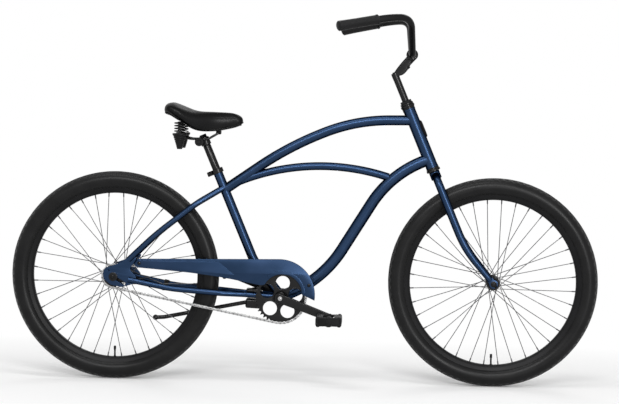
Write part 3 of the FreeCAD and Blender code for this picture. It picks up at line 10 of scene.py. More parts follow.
import bmesh
import bpy
import numpy as np
from mathutils import Matrix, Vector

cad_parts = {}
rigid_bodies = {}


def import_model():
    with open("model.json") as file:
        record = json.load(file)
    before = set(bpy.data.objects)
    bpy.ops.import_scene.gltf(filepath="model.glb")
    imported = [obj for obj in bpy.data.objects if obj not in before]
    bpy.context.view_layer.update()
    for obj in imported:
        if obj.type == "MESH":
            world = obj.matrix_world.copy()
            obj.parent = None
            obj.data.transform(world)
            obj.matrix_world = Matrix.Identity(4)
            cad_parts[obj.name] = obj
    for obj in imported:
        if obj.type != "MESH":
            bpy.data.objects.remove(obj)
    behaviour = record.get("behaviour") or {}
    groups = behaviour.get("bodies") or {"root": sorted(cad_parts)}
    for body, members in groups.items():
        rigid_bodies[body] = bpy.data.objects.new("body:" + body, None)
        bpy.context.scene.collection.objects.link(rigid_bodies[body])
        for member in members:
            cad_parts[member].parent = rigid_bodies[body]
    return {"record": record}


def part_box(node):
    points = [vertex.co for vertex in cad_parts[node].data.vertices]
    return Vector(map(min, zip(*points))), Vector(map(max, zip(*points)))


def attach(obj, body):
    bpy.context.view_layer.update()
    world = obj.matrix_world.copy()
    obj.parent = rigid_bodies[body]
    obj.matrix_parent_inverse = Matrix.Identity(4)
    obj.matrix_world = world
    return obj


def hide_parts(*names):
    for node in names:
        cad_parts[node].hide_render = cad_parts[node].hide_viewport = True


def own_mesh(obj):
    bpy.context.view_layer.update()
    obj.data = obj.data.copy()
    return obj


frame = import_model()

Array = np.ndarray
Pairs = Sequence[tuple[float, float]]
MM = 0.001
AHEAD = np.array((1.0, 0.0, 0.0))
ACROSS = np.array((0.0, 1.0, 0.0))
UP = np.array((0.0, 0.0, 1.0))
MIDDLE_PLANE = np.array((1.0, 0.0, 1.0))
SIDES = ((-1, "right"), (1, "left"))
CREASE = 38.0
FINE_CREASE = 30.0
LOG = logging.getLogger("cruiser")


def vec(x: float, y: float, z: float) -> Array:
    """Returns a point or direction in millimetres."""
    return np.array((x, y, z), dtype=float)


def flat(point: Array) -> Array:
    """Returns a point's place in the XZ plane, as (x, z)."""
    return point[[0, 2]]


def unit(vector: Array) -> Array:
    """Returns the same direction, or row of directions, with a length of one."""
    return vector / np.linalg.norm(vector, axis=-1, keepdims=True)


def joint(name: str) -> tuple[Array, Array]:
    """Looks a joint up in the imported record.

    Args:
        name: name of the joint.

    Returns:
        Its place in millimetres, and its axis.
    """
    for entry in frame["record"]["behaviour"]["joints"]:
        if entry["name"] == name:
            return np.array(entry.get("pos_m", (0, 0, 0))) / MM, np.array(entry["axis"], dtype=float)
    raise KeyError(name)


@dataclass
class Surface:
    """Mesh under construction, in millimetres: points, four-sided faces and triangles."""

    points: Array
    quads: Array
    triangles: Array

    @staticmethod
    def grid(
        rows: Array, loop_rows: bool = False, loop_columns: bool = True, capped: bool = True
    ) -> "Surface":
        """Skins a table of points.

        Args:
            rows: points of shape (rows, columns, 3).
            loop_rows: join the last row to the first.
            loop_columns: join the last column to the first.
            capped: close the first and last rows with fans of triangles.

        Returns:
            The surface between neighbouring rows and columns.
        """
        count, wide = rows.shape[:2]
        i = np.arange(count if loop_rows else count - 1)[:, None]
        j = np.arange(wide if loop_columns else wide - 1)[None, :]
        here, ahead, beside = i * wide, (i + 1) % count * wide, (j + 1) % wide
        quads = np.stack((here + j, here + beside, ahead + beside, ahead + j), axis=-1)
        points = rows.reshape(-1, 3)
        triangles = np.zeros((0, 3), dtype=int)
        if capped and not loop_rows:
            ring = np.arange(wide)
            after = (ring + 1) % wide
            low = np.full(wide, count * wide)
            last = (count - 1) * wide
            first_fan = np.stack((low, after, ring), axis=1)
            last_fan = np.stack((low + 1, last + ring, last + after), axis=1)
            triangles = np.vstack((first_fan, last_fan))
            points = np.vstack((points, rows[0].mean(axis=0), rows[-1].mean(axis=0)))
        return Surface(points, quads.reshape(-1, 4), triangles)

    @staticmethod
    def join(parts: Iterable["Surface"]) -> "Surface":
        """Puts several surfaces into one.

        Args:
            parts: the surfaces.

        Returns:
            One surface with all their faces.
        """
        parts = list(parts)
        starts = np.cumsum([0] + [len(part.points) for part in parts[:-1]])
        return Surface(
            np.vstack([part.points for part in parts]),
            np.vstack([part.quads + start for part, start in zip(parts, starts)]),
            np.vstack([part.triangles + start for part, start in zip(parts, starts)]),
        )

    def repeated(self, origins: Array, frames: Array) -> "Surface":
        """Copies the surface to many places.

        Args:
            origins: places of shape (copies, 3).
            frames: axes of each copy as rows, of shape (copies, 3, 3).

        Returns:
            All the copies as one surface.
        """
        copies, count = len(origins), len(self.points)
        points = np.einsum("nj,kji->kni", self.points, frames) + origins[:, None, :]
        shift = np.arange(copies)[:, None, None] * count
        return Surface(
            points.reshape(-1, 3),
            (self.quads[None] + shift).reshape(-1, 4),
            (self.triangles[None] + shift).reshape(-1, 3),
        )

    def to_object(self, name: str, crease: float = CREASE) -> bpy.types.Object:
        """Builds the Blender object, smooth apart from creases.

        Args:
            name: object name.
            crease: angle in degrees over which an edge stays sharp.

        Returns:
            The linked object, at the origin with its place in its mesh.
        """
        mesh = bpy.data.meshes.new(name)
        faces = self.quads.tolist() + self.triangles.tolist()
        mesh.from_pydata((self.points * MM).tolist(), [], faces)
        work = bmesh.new()
        work.from_mesh(mesh)
        bmesh.ops.remove_doubles(work, verts=work.verts, dist=1e-6)
        bmesh.ops.recalc_face_normals(work, faces=work.faces)
        work.to_mesh(mesh)
        work.free()
        mesh.polygons.foreach_set("use_smooth", np.ones(len(mesh.polygons), dtype=bool))
        mesh.set_sharp_from_angle(angle=math.radians(crease))
        thing = bpy.data.objects.new(name, mesh)
        bpy.context.scene.collection.objects.link(thing)
        return thing


def rounded_path(points: Sequence[Array], bends: Sequence[float], steps: int = 16) -> Array:
    """Straight runs with an arc of a given radius at each inner corner.

    Each arc goes bend * sin t along its run and bend * (1 - cos t) towards the next one.

    Args:
        points: ends and corners of the route.
        bends: one radius for each corner.
        steps: points on each arc.

    Returns:
        Points of the route, of shape (n, 3).
    """
    rows = [points[0][None]]
    for before, corner, after, bend in zip(points, points[1:], points[2:], bends):
        inward, outward = unit(corner - before), unit(after - corner)
        turn = math.acos(float(np.clip(inward @ outward, -1, 1)))
        toward = unit(outward - inward * (inward @ outward))
        angle = np.linspace(0, turn, steps)[:, None]
        start = corner - inward * (bend * math.tan(turn / 2))
        rows.append(start + bend * (np.sin(angle) * inward + (1 - np.cos(angle)) * toward))
    rows.append(points[-1][None])
    return np.vstack(rows)


def tube(path: Array, radius: float | Array, sides: int = 28, across: Array = ACROSS) -> Surface:
    """Round bar along a route: each row is a circle square to the route's tangent.

    Args:
        path: points of the route.
        radius: one radius, or one for each point.
        sides: points on each circle.
        across: direction that is nowhere along the route.

    Returns:
        The capped surface.
    """
    tangent = unit(np.gradient(path, axis=0))
    side = unit(np.cross(tangent, across))
    rise = np.cross(side, tangent)
    angle = np.linspace(0, 2 * math.pi, sides, endpoint=False)[None, :, None]
    size = np.broadcast_to(np.asarray(radius, dtype=float), (len(path),))[:, None, None]
    rows = path[:, None] + size * (np.cos(angle) * side[:, None] + np.sin(angle) * rise[:, None])
    return Surface.grid(rows)


def mirrored(half: Pairs) -> list[tuple[float, float]]:
    """Returns a profile that is given from its middle outward, after its mirror image."""
    return [(-along, radius) for along, radius in reversed(half)] + list(half)


def lathe(profile: Pairs, origin: Array, axis: Array, sides: int = 48, ring: bool = False) -> Surface:
    """Turned form: each (distance along the axis, radius) of the profile becomes a circle.

    Args:
        profile: stations along the axis.
        origin: point of the axis where the distance is zero.
        axis: direction of the axis.
        sides: points on each circle.
        ring: join the last station to the first, for a closed ring.

    Returns:
        The surface.
    """
    along = unit(np.asarray(axis, dtype=float))
    helper = AHEAD if abs(along @ AHEAD) < 0.8 else UP
    side = unit(np.cross(along, helper))
    rise = np.cross(along, side)
    table = np.asarray(profile, dtype=float)
    angle = np.linspace(0, 2 * math.pi, sides, endpoint=False)[None, :, None]
    circle_row = np.cos(angle) * side + np.sin(angle) * rise
    rows = origin + table[:, 0, None, None] * along + table[:, 1, None, None] * circle_row
    return Surface.grid(rows, loop_rows=ring, capped=not ring)


def plate(outlines: Sequence[Array], near: float, far: float, bevel: float = 0.5) -> Surface:
    """Flat piece with rounded edges: outlines in the XZ plane, the later ones holes, thickened across Y.

    Args:
        outlines: tables of (x, z), each a closed outline.
        near: Y of one face.
        far: Y of the other face.
        bevel: radius of the edges.

    Returns:
        The surface, in triangles.
    """
    curve = bpy.data.curves.new("outline", "CURVE")
    curve.dimensions = "2D"
    curve.fill_mode = "BOTH"
    curve.extrude = max(abs(far - near) / 2 - bevel, 0.001)
    curve.bevel_depth = bevel
    curve.bevel_resolution = 1
    curve.offset = -bevel
    for outline in outlines:
        spline = curve.splines.new("POLY")
        spline.points.add(len(outline) - 1)
        row = np.column_stack((outline, np.zeros(len(outline)), np.ones(len(outline))))
        spline.points.foreach_set("co", row.ravel())
        spline.use_cyclic_u = True
    thing = bpy.data.objects.new("outline", curve)
    mesh = bpy.data.meshes.new_from_object(thing)
    mesh.calc_loop_triangles()
    points = np.zeros(len(mesh.vertices) * 3)
    mesh.vertices.foreach_get("co", points)
    faces = np.zeros(len(mesh.loop_triangles) * 3, dtype=int)
    mesh.loop_triangles.foreach_get("vertices", faces)
    points = points.reshape(-1, 3)
    bpy.data.objects.remove(thing)
    bpy.data.curves.remove(curve)
    bpy.data.meshes.remove(mesh)
    placed = np.column_stack((points[:, 0], (near + far) / 2 - points[:, 2], points[:, 1]))
    return Surface(placed, np.zeros((0, 4), dtype=int), faces.reshape(-1, 3))


def arc_points(centre: Array, radius: float, first: float, last: float, steps: int) -> Array:
    """Returns points (x, z) on part of a circle, between two angles in degrees."""
    angle = np.radians(np.linspace(first, last, steps))
    return centre + radius * np.column_stack((np.cos(angle), np.sin(angle)))


def circle(centre: Array, radius: float, sides: int = 40) -> Array:
    """Returns a closed circle of points (x, z)."""
    return arc_points(centre, radius, 0, 360, sides + 1)[:-1]


def parabola(first: Array, corner: Array, last: Array, steps: int) -> Array:
    """Returns a quadratic curve between two ends, tangent there to the lines that join them to a corner."""
    share = np.linspace(0, 1, steps)[:, None]
    return first * (1 - share) ** 2 + 2 * corner * share * (1 - share) + last * share**2


def rounded_outline(corners: Array, radius: float, steps: int = 6) -> Array:
    """Rounds the corners of a closed outline with a quadratic curve from edge to edge.

    Args:
        corners: table of (x, z).
        radius: distance from each corner where its curve starts, at most 0.45 of the shorter edge.
        steps: points on each curve.

    Returns:
        The finer outline.
    """
    before, after = np.roll(corners, 1, axis=0) - corners, np.roll(corners, -1, axis=0) - corners
    long_before, long_after = np.linalg.norm(before, axis=1), np.linalg.norm(after, axis=1)
    cut = np.minimum(radius, 0.45 * np.minimum(long_before, long_after))[:, None]
    start = corners + before / long_before[:, None] * cut
    end = corners + after / long_after[:, None] * cut
    return parabola(start[:, None], corners[:, None], end[:, None], steps).reshape(-1, 2)


def nut(centre: Array, axis: Array, start: float, height: float, flats: float) -> Surface:
    """Hexagon nut with a chamfered end.

    Args:
        centre: point of the axis where distances start.
        axis: direction of the axis.
        start: distance to the nut.
        height: height of the nut.
        flats: width across its flats.

    Returns:
        The surface.
    """
    full, end = flats / math.sqrt(3), start + height
    profile = ((start, full * 0.96), (start + 0.6, full), (end - 1, full), (end, full * 0.86))
    return lathe(profile, centre, axis, 6)


def rounded_bar(sections: Sequence, corner: float, steps: int = 5) -> Surface:
    """Bar with rounded corners through rectangular sections.

    Each section is (centre, half width vector, half height vector). Its outline is the rectangle drawn in
    by the corner radius, plus a circle of that radius.

    Args:
        sections: table of shape (n, 3, 3).
        corner: radius of the long edges.
        steps: points on each corner.

    Returns:
        The capped surface.
    """
    quarter = np.linspace(0, math.pi / 2, steps)
    angle = np.concatenate([quarter + turn * math.pi / 2 for turn in range(4)])
    sign_x = np.repeat((1, -1, -1, 1), steps)
    sign_z = np.repeat((1, 1, -1, -1), steps)
    rows = []
    for centre, wide, high in np.array(sections):
        width, height = np.linalg.norm(wide), np.linalg.norm(high)
        radius = min(corner, width * 0.98, height * 0.98)
        x = sign_x * (width - radius) + radius * np.cos(angle)
        z = sign_z * (height - radius) + radius * np.sin(angle)
        rows.append(centre + x[:, None] * unit(wide) + z[:, None] * unit(high))
    return Surface.grid(np.array(rows))


class Slot(Enum):
    """Material slots of the record."""

    PAINT = "frame_paint"
    BADGE = "badge_metal"
    BLACK = "black_metal"
    RIM = "black_rim"
    STEEL = "steel"
    CHAIN = "chain_steel"
    TYRE = "tyre_rubber"
    GRIP = "grip_rubber"
    VINYL = "saddle_vinyl"
    PLASTIC = "black_plastic"


def dial(node: bpy.types.Node, values: dict[str, object]) -> bpy.types.Node:
    """Sets inputs of a node.

    Args:
        node: the node.
        values: value of each input, by its name.

    Returns:
        The same node.
    """
    for label, value in values.items():
        node.inputs[label].default_value = value
    return node


def grain_group() -> bpy.types.NodeTree:
    """Shader group: fine noise on object coordinates, as a bumped normal and a tone from 0 to 1.

    Returns:
        The group, made on first use.
    """
    name = "fine_grain"
    if name in bpy.data.node_groups:
        return bpy.data.node_groups[name]
    group = bpy.data.node_groups.new(name, "ShaderNodeTree")
    for label in ("Scale", "Depth", "Broad"):
        group.interface.new_socket(label, in_out="INPUT", socket_type="NodeSocketFloat")
    group.interface.new_socket("Normal", in_out="OUTPUT", socket_type="NodeSocketVector")
    group.interface.new_socket("Tone", in_out="OUTPUT", socket_type="NodeSocketFloat")
    nodes, links = group.nodes, group.links
    entry, leave = nodes.new("NodeGroupInput"), nodes.new("NodeGroupOutput")
    place = nodes.new("ShaderNodeTexCoord")
    fine = dial(nodes.new("ShaderNodeTexNoise"), {"Detail": 3.0})
    broad = dial(nodes.new("ShaderNodeTexNoise"), {"Detail": 5.0})
    bump = dial(nodes.new("ShaderNodeBump"), {"Distance": 0.000012})
    links.new(place.outputs["Object"], fine.inputs["Vector"])
    links.new(place.outputs["Object"], broad.inputs["Vector"])
    links.new(entry.outputs["Scale"], fine.inputs["Scale"])
    links.new(entry.outputs["Broad"], broad.inputs["Scale"])
    links.new(entry.outputs["Depth"], bump.inputs["Strength"])
    links.new(fine.outputs["Fac"], bump.inputs["Height"])
    links.new(bump.outputs["Normal"], leave.inputs["Normal"])
    links.new(broad.outputs["Fac"], leave.inputs["Tone"])
    return group


@dataclass(frozen=True)
class Finish:
    """A surface finish: one shader whose colour and roughness drift a little over the surface.

    Grain is the scale of the fine noise, depth its strength as a bump, and broad the scale of the drift.
    Painted edge shade is the share of the colour that is lost at the edges: painted shade at grazing angles,
    not light.
    """

    name: str
    low: tuple[float, float, float]
    high: tuple[float, float, float]
    metallic: float
    rough_low: float
    rough_high: float
    grain: float
    depth: float
    broad: float
    specular: float = 0.5
    # Painted shade: share of the colour darkened towards grazing edges.
    painted_edge_shade: float = 0.0

    def material(self) -> bpy.types.Material:
        """Mixes the finish.

        Returns:
            The material, made on first use.
        """
        if self.name in bpy.data.materials:
            return bpy.data.materials[self.name]
        material = bpy.data.materials.new(self.name)
        material.use_nodes = True
        nodes, links = material.node_tree.nodes, material.node_tree.links
        shader = nodes["Principled BSDF"]
        dial(shader, {"Metallic": self.metallic, "Specular IOR Level": self.specular})
        grain = nodes.new("ShaderNodeGroup")
        grain.node_tree = grain_group()
        dial(grain, {"Scale": self.grain, "Depth": self.depth, "Broad": self.broad})
        tone, rough = nodes.new("ShaderNodeValToRGB"), nodes.new("ShaderNodeMapRange")
        spread = (0.3, 0.7)
        for stop, position, colour in zip(tone.color_ramp.elements, spread, (self.low, self.high)):
            stop.position = position
            stop.color = (*colour, 1)
        dial(rough, {"From Min": spread[0], "From Max": spread[1]})
        dial(rough, {"To Min": self.rough_low, "To Max": self.rough_high})
        links.new(grain.outputs["Tone"], tone.inputs["Fac"])
        links.new(grain.outputs["Tone"], rough.inputs["Value"])
        links.new(self.paint_edge_shade(nodes, links, tone.outputs["Color"]), shader.inputs["Base Color"])
        links.new(rough.outputs["Result"], shader.inputs["Roughness"])
        links.new(grain.outputs["Normal"], shader.inputs["Normal"])
        return material

    def paint_edge_shade(
        self, nodes: bpy.types.Nodes, links: bpy.types.NodeLinks, colour: bpy.types.NodeSocket
    ) -> bpy.types.NodeSocket:
        """Paints shade into a finish towards its edges: the colour darkens at grazing angles, a painted shade
        rather than light.

        Args:
            nodes: nodes of the material.
            links: links of the material.
            colour: colour seen square on.

        Returns:
            The colour after the flop.
        """
        if not self.painted_edge_shade:
            return colour
        # Painted shade: the colour is darkened by how far the surface turns from the view, towards its
        # grazing edges.
        facing = dial(nodes.new("ShaderNodeLayerWeight"), {"Blend": 0.5})
        fall, mix = nodes.new("ShaderNodeMapRange"), nodes.new("ShaderNodeMix")
        fall.interpolation_type = "SMOOTHSTEP"
        dial(fall, {"From Min": 0.02, "From Max": 0.55, "To Min": 1.0, "To Max": 1.0 - self.painted_edge_shade})
        mix.data_type, mix.blend_type = "RGBA", "MULTIPLY"
        dial(mix, {"Factor": 1.0})
        links.new(facing.outputs["Facing"], fall.inputs["Value"])
        shader = nodes["Principled BSDF"]
        # Painted shade in the reflection too: metallic finishes tint their edge reflection with their own
        # dark colour, others lose specular towards the edges.
        if self.metallic:
            dial(shader, {"Specular Tint": (*self.low, 1)})
        else:
            level = nodes.new("ShaderNodeMath")
            level.operation = "MULTIPLY"
            level.inputs[1].default_value = self.specular
            links.new(fall.outputs["Result"], level.inputs[0])
            links.new(level.outputs["Value"], shader.inputs["Specular IOR Level"])
        first_colour, second_colour, mixed_colour = mix.inputs[6], mix.inputs[7], mix.outputs[2]
        links.new(colour, first_colour)
        links.new(fall.outputs["Result"], second_colour)
        return mixed_colour


# The last value of PAINT, BLACK and VINYL is their painted edge shade: painted darkening of the colour at
# grazing edges.
FINISHES: dict[Slot, Finish] = {
    Slot.PAINT: Finish(
        "blue_paint", (0.018, 0.036, 0.075), (0.023, 0.043, 0.089), 1.0, 0.29, 0.35, 900, 0.2, 14, painted_edge_shade=0.56
    ),
    Slot.BADGE: Finish(
        "bare_badge", (0.002, 0.002, 0.0022), (0.004, 0.004, 0.0044), 0.0, 0.3, 0.4, 900, 0.2, 30, 0.06
    ),
    Slot.BLACK: Finish(
        "black_paint", (0.002, 0.002, 0.0023), (0.004, 0.004, 0.0045),
        0.0, 0.2, 0.28, 700, 0.1, 20, 0.26, 0.85
    ),
    Slot.RIM: Finish(
        "black_anodised", (0.004, 0.004, 0.0045), (0.007, 0.007, 0.0075), 0.0, 0.34, 0.44, 500, 0.05, 12, 0.12
    ),
    Slot.STEEL: Finish(
        "plated_steel", (0.05, 0.05, 0.052), (0.08, 0.08, 0.082), 0.8, 0.3, 0.42, 400, 0.05, 30
    ),
    Slot.CHAIN: Finish(
        "bright_links", (0.32, 0.32, 0.32), (0.46, 0.46, 0.46), 1.0, 0.28, 0.4, 300, 0.05, 40
    ),
    Slot.TYRE: Finish(
        "cured_rubber", (0.0045, 0.0045, 0.0047), (0.007, 0.007, 0.0072), 0.0, 0.3, 0.38, 500, 0.2, 25, 0.15
    ),
    Slot.GRIP: Finish(
        "soft_rubber", (0.005, 0.005, 0.0053), (0.009, 0.009, 0.0095), 0.0, 0.42, 0.55, 1200, 0.2, 25, 0.12
    ),
    Slot.VINYL: Finish(
        "grained_vinyl", (0.002, 0.002, 0.0022), (0.0035, 0.0035, 0.0038),
        0.0, 0.28, 0.36, 350, 0.08, 18, 0.16, 0.9
    ),
    Slot.PLASTIC: Finish(
        "moulded_plastic", (0.004, 0.004, 0.0043), (0.007, 0.007, 0.0075), 0.0, 0.38, 0.5, 900, 0.12, 30, 0.12
    ),
}


def put(
    surface: Surface, name: str, body: str, slot: Slot, nodes: Sequence[str] = (), crease: float = CREASE
) -> bpy.types.Object:
    """Adds a piece to the model.

    Args:
        surface: its shape.
        name: object name.
        body: CAD body that it rides on.
        slot: material slot that it takes its finish from.
        nodes: CAD nodes that it stands for.
        crease: angle in degrees over which an edge stays sharp.

    Returns:
        The new object.
    """
    piece = surface.to_object(name, crease)
    piece.data.materials.append(FINISHES[slot].material())
    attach(piece, body)
    if nodes:
        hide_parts(*nodes)
    LOG.info("%s rides on %s", name, body)
    return piece


@dataclass(frozen=True)
class Stance:
    """Reference points of the bicycle in millimetres."""

    seat_setback: float = 42.0
    wheel_radius: float = 334.0

    @property
    def rear_axle(self) -> Array:
        """Middle of the rear axle."""
        return joint("rear_wheel_spin")[0]

    @property
    def front_axle(self) -> Array:
        """Middle of the front axle."""
        return joint("front_wheel_spin")[0]

    @property
    def bracket(self) -> Array:
        """Middle of the crank axle."""
        return joint("crank_spin")[0]

    @property
    def steer_up(self) -> Array:
        """Direction of the steering axis, upward."""
        return joint("steering")[1]

    @property
    def steer_ahead(self) -> Array:
        """Forward direction square to the steering axis."""
        return np.cross(ACROSS, self.steer_up)

    @property
    def seat_up(self) -> Array:
        """Direction of the seat tube, upward."""
        return joint("seat_height")[1]

    def steer(self, ahead: float, left: float, up: float) -> Array:
        """Returns a point measured from the foot of the steering axis."""
        return joint("steering")[0] + self.steer_ahead * ahead + ACROSS * left + self.steer_up * up

    def seat(self, ahead: float, left: float, up: float) -> Array:
        """Returns a point measured along the seat tube from the height of the crank axis."""
        foot = self.bracket - AHEAD * self.seat_setback
        return foot + np.cross(ACROSS, self.seat_up) * ahead + ACROSS * left + self.seat_up * up

    def on_steer_axis(self, height: float) -> Array:
        """Returns the point of the steering axis at a height."""
        return self.steer(0, 0, (height - self.steer(0, 0, 0)[2]) / self.steer_up[2])

    def on_seat_axis(self, height: float) -> Array:
        """Returns the point of the seat tube's axis at a height."""
        return self.seat(0, 0, (height - self.seat(0, 0, 0)[2]) / self.seat_up[2])


STANCE = Stance()


@dataclass(frozen=True)
class FrameSet:
    """Welded frame: main tubes, stays, dropouts, seat collar and badge."""

    body: str = "frame"
    head_radius: float = 19.5
    head_length: float = 202.0
    fork_length: float = 413.0
    cup_profile: Pairs = (
        (-0.4, 18.4), (0.4, 20.6), (4.6, 20.6), (5.4, 22), (6.4, 22.5), (11.4, 22.5), (12.6, 21.4), (13, 19)
    )
    top_radius: float = 16.0
    top_start: float = 847.0
    top_corners: Pairs = ((157, 844), (-54, 756))
    top_bends: tuple[float, float] = (560, 1050)
    mid_radius: float = 12.7
    mid_start: float = 266.0
    mid_crest: tuple[float, float] = (58, 696)
    mid_bend: float = 700.0
    down_radius: float = 19.05
    down_start: float = 724.0
    down_corners: Pairs = ((273, 676), (56, 322))
    down_bends: tuple[float, float] = (345, 365)
    seat_radius: float = 15.0
    seat_length: float = 440.0
    seat_node: float = 615.0
    seat_knee: float = 122.0
    seat_bend: float = 150.0
    shell_radius: float = 20.0
    shell_half: float = 34.0
    stay_radius: float = 9.5
    dropout_inside: float = 55.0
    dropout_thickness: float = 5.0
    dropout_size: float = 37.0
    slot_half: float = 5.1
    slot_length: float = 46.0
    slot_dip: float = -30.0
    eyelet_place: tuple[float, float] = (-14, 20)
    eyelet_radius: float = 2.6
    badge_turn: float = 44.0
    badge_half: float = 29.0
    badge_proud: float = 4.6
    badge_drop: float = 76.0
    collar_height: float = 15.0
    collar_radius: float = 19.5
    lug_offset: float = 4.8

    def head(self) -> Surface:
        """Head tube: a turned profile with a raised band at both ends.

        Returns:
            The surface.
        """
        end, radius = self.head_length, self.head_radius
        band = ((0, radius - 0.9), (0.6, radius + 0.8), (5.4, radius + 0.8), (6.2, radius))
        profile = (*band, *((end - up, wide) for up, wide in reversed(band)))
        return lathe(profile, STANCE.steer(0, 0, self.fork_length), STANCE.steer_up, 64)

    def cups(self) -> Surface:
        """Returns the headset cups: a stepped profile turned outward from both ends of the head tube."""
        low, high = (STANCE.steer(0, 0, self.fork_length + up) for up in (0, self.head_length))
        ends = ((low, -STANCE.steer_up), (high, STANCE.steer_up))
        return Surface.join(lathe(self.cup_profile, end, outward, 56) for end, outward in ends)

    def main_path(self, start: float, corners: Pairs, end: Array, bends: Sequence[float]) -> Array:
        """Route of a main tube in the middle plane.

        Args:
            start: height of its end on the steering axis.
            corners: places of its two bends as (x, z).
            end: its other end.
            bends: radius of each bend.

        Returns:
            Points of the route.
        """
        points = (STANCE.on_steer_axis(start), *(vec(x, 0, z) for x, z in corners), end)
        return rounded_path(points, bends, 24)

    def mid_path(self) -> Array:
        """Route of the middle tube: one arc from the down tube over its crest to the seat tube.

        Returns:
            Points of the route.
        """
        radius, (crest_x, crest_z) = self.mid_bend, self.mid_crest
        front = math.asin((self.mid_start - crest_x) / radius)
        rear = math.asin((crest_x - STANCE.on_seat_axis(self.seat_node)[0]) / radius)
        angle = np.linspace(front, -rear, 40)
        drop = radius * (1 - np.cos(angle))
        return np.column_stack((crest_x + radius * np.sin(angle), 0 * angle, crest_z - drop))

    def dropout_middle(self, side: int) -> float:
        """Returns the Y of a dropout's middle plane."""
        return side * (self.dropout_inside + self.dropout_thickness / 2)

    def chain_stay_path(self, side: int) -> Array:
        """Route of a chain stay: along the wheel, drawn in past the tyre and on to the shell.

        Args:
            side: -1 for right, 1 for left.

        Returns:
            Points of the route.
        """
        axle, bracket = STANCE.rear_axle, STANCE.bracket
        waist_x = axle[0] + STANCE.wheel_radius + 9
        toe_x = axle[0] + STANCE.wheel_radius + 82
        waist_z = axle[2] - 47
        fall = (waist_z - bracket[2]) / (bracket[0] - waist_x)
        points = (
            axle + vec(48, self.dropout_middle(side), -8),
            axle + vec(185, side * 51, -35),
            vec(waist_x, side * 45, waist_z),
            vec(toe_x, side * 24, waist_z - fall * (toe_x - waist_x)),
            bracket + ACROSS * side * 22,
        )
        return rounded_path(points, (480, 60, 60))

    def seat_stay_path(self, side: int) -> Array:
        """Route of a seat stay: out round the tyre and down to the dropout.

        Args:
            side: -1 for right, 1 for left.

        Returns:
            Points of the route.
        """
        points = (
            STANCE.on_seat_axis(self.seat_node + 7) + ACROSS * side * 9,
            vec(-345, side * 45, 570),
            vec(-470, side * 53, 472),
            STANCE.rear_axle + vec(49, self.dropout_middle(side), 55),
        )
        return rounded_path(points, (120, 900))

    def dropout_outline(self) -> Array:
        """Corners of the dropout: a round back, then a tongue for each stay, as shares of its size.

        Returns:
            Table of (x, z).
        """
        back = ((-0.70, 0.74), (-0.84, 0.48), (-0.88, 0.20), (-0.84, -0.06), (-0.70, -0.30))
        low_tongue = ((-0.20, -0.70), (0.75, -0.90), (1.90, -0.55), (2.00, 0.00), (1.42, 0.70))
        high_tongue = ((2.05, 1.62), (1.66, 2.02), (0.70, 1.25))
        return flat(STANCE.rear_axle) + np.array(back + low_tongue + high_tongue) * self.dropout_size

    def badge(self) -> Surface:
        """Badge: an oval plate bent round the head tube.

        Its half angle is the root of 1 - |along|^3, and its height over the tube falls away at the edge.

        Returns:
            The surface.
        """
        along = np.linspace(-1, 1, 25)[:, None]
        turn = np.linspace(-1, 1, 17)[None, :]
        width = np.sqrt(np.clip(1 - np.abs(along) ** 3, 0, 1))
        angle = np.radians(self.badge_turn) * turn * width
        edge = np.clip(1 - np.maximum(np.abs(turn) ** 6, np.abs(along) ** 8), 0, 1)
        radius = self.head_radius + 0.2 + self.badge_proud * np.sqrt(edge)
        ahead, left = radius * np.cos(angle), radius * np.sin(angle)
        up = self.fork_length + self.head_length - self.badge_drop + self.badge_half * along + 0 * turn
        rows = STANCE.steer(0, 0, 0) + ahead[..., None] * STANCE.steer_ahead
        rows = rows + left[..., None] * ACROSS + up[..., None] * STANCE.steer_up
        return Surface.grid(rows, loop_columns=False, capped=False)

    def collar(self) -> Surface:
        """Split ring on top of the seat tube: a turned band, two lugs behind it and their bolt.

        Returns:
            The surface.
        """
        half, wide, bore = self.collar_height / 2, self.collar_radius, self.seat_radius + 0.1
        height = self.seat_length - half
        profile = mirrored(((half - 1, wide), (half, wide - 1), (half, bore)))
        pieces = [lathe(profile, STANCE.seat(0, 0, height), STANCE.seat_up, 56, ring=True)]
        bolt = STANCE.seat(-26.5, 0, height)
        cap = ((7.5, 4.2), (8, 5.6), (10.6, 5.6), (11.5, 4.8), (11.5, 2.6), (9.5, 2.4))
        for side, _ in SIDES:
            lug = [
                (STANCE.seat(-back, side * self.lug_offset, height), ACROSS * thick, STANCE.seat_up * high)
                for back, thick, high in ((17, 3.2, 7.4), (32, 3.2, 7.4), (33.2, 2.56, 6.29))
            ]
            pieces.append(rounded_bar(lug, 2.0))
            pieces.append(lathe(cap, bolt, ACROSS * side, 24))
        pieces.append(lathe(((-9, 2.5), (9, 2.5)), bolt, ACROSS, 16))
        return Surface.join(pieces)

    def dropout(self, side: int) -> Surface:
        """Dropout: a plate with a forward axle slot and an eyelet hole in its upper tongue.

        Args:
            side: -1 for right, 1 for left.

        Returns:
            The surface.
        """
        axle, half = flat(STANCE.rear_axle), self.slot_half
        dip = math.radians(self.slot_dip)
        run, rise = np.array((math.cos(dip), math.sin(dip))), np.array((-math.sin(dip), math.cos(dip)))
        mouth = axle + run * self.slot_length
        bed = arc_points(axle, half, 90 + self.slot_dip, 270 + self.slot_dip, 14)
        slot = np.vstack((mouth + half * rise, bed, mouth - half * rise))
        eyelet = circle(axle + np.array(self.eyelet_place), self.eyelet_radius, 16)
        inside = side * self.dropout_inside
        outlines = (rounded_outline(self.dropout_outline(), 6), slot, eyelet)
        return plate(outlines, inside, inside + side * self.dropout_thickness, 0.7)

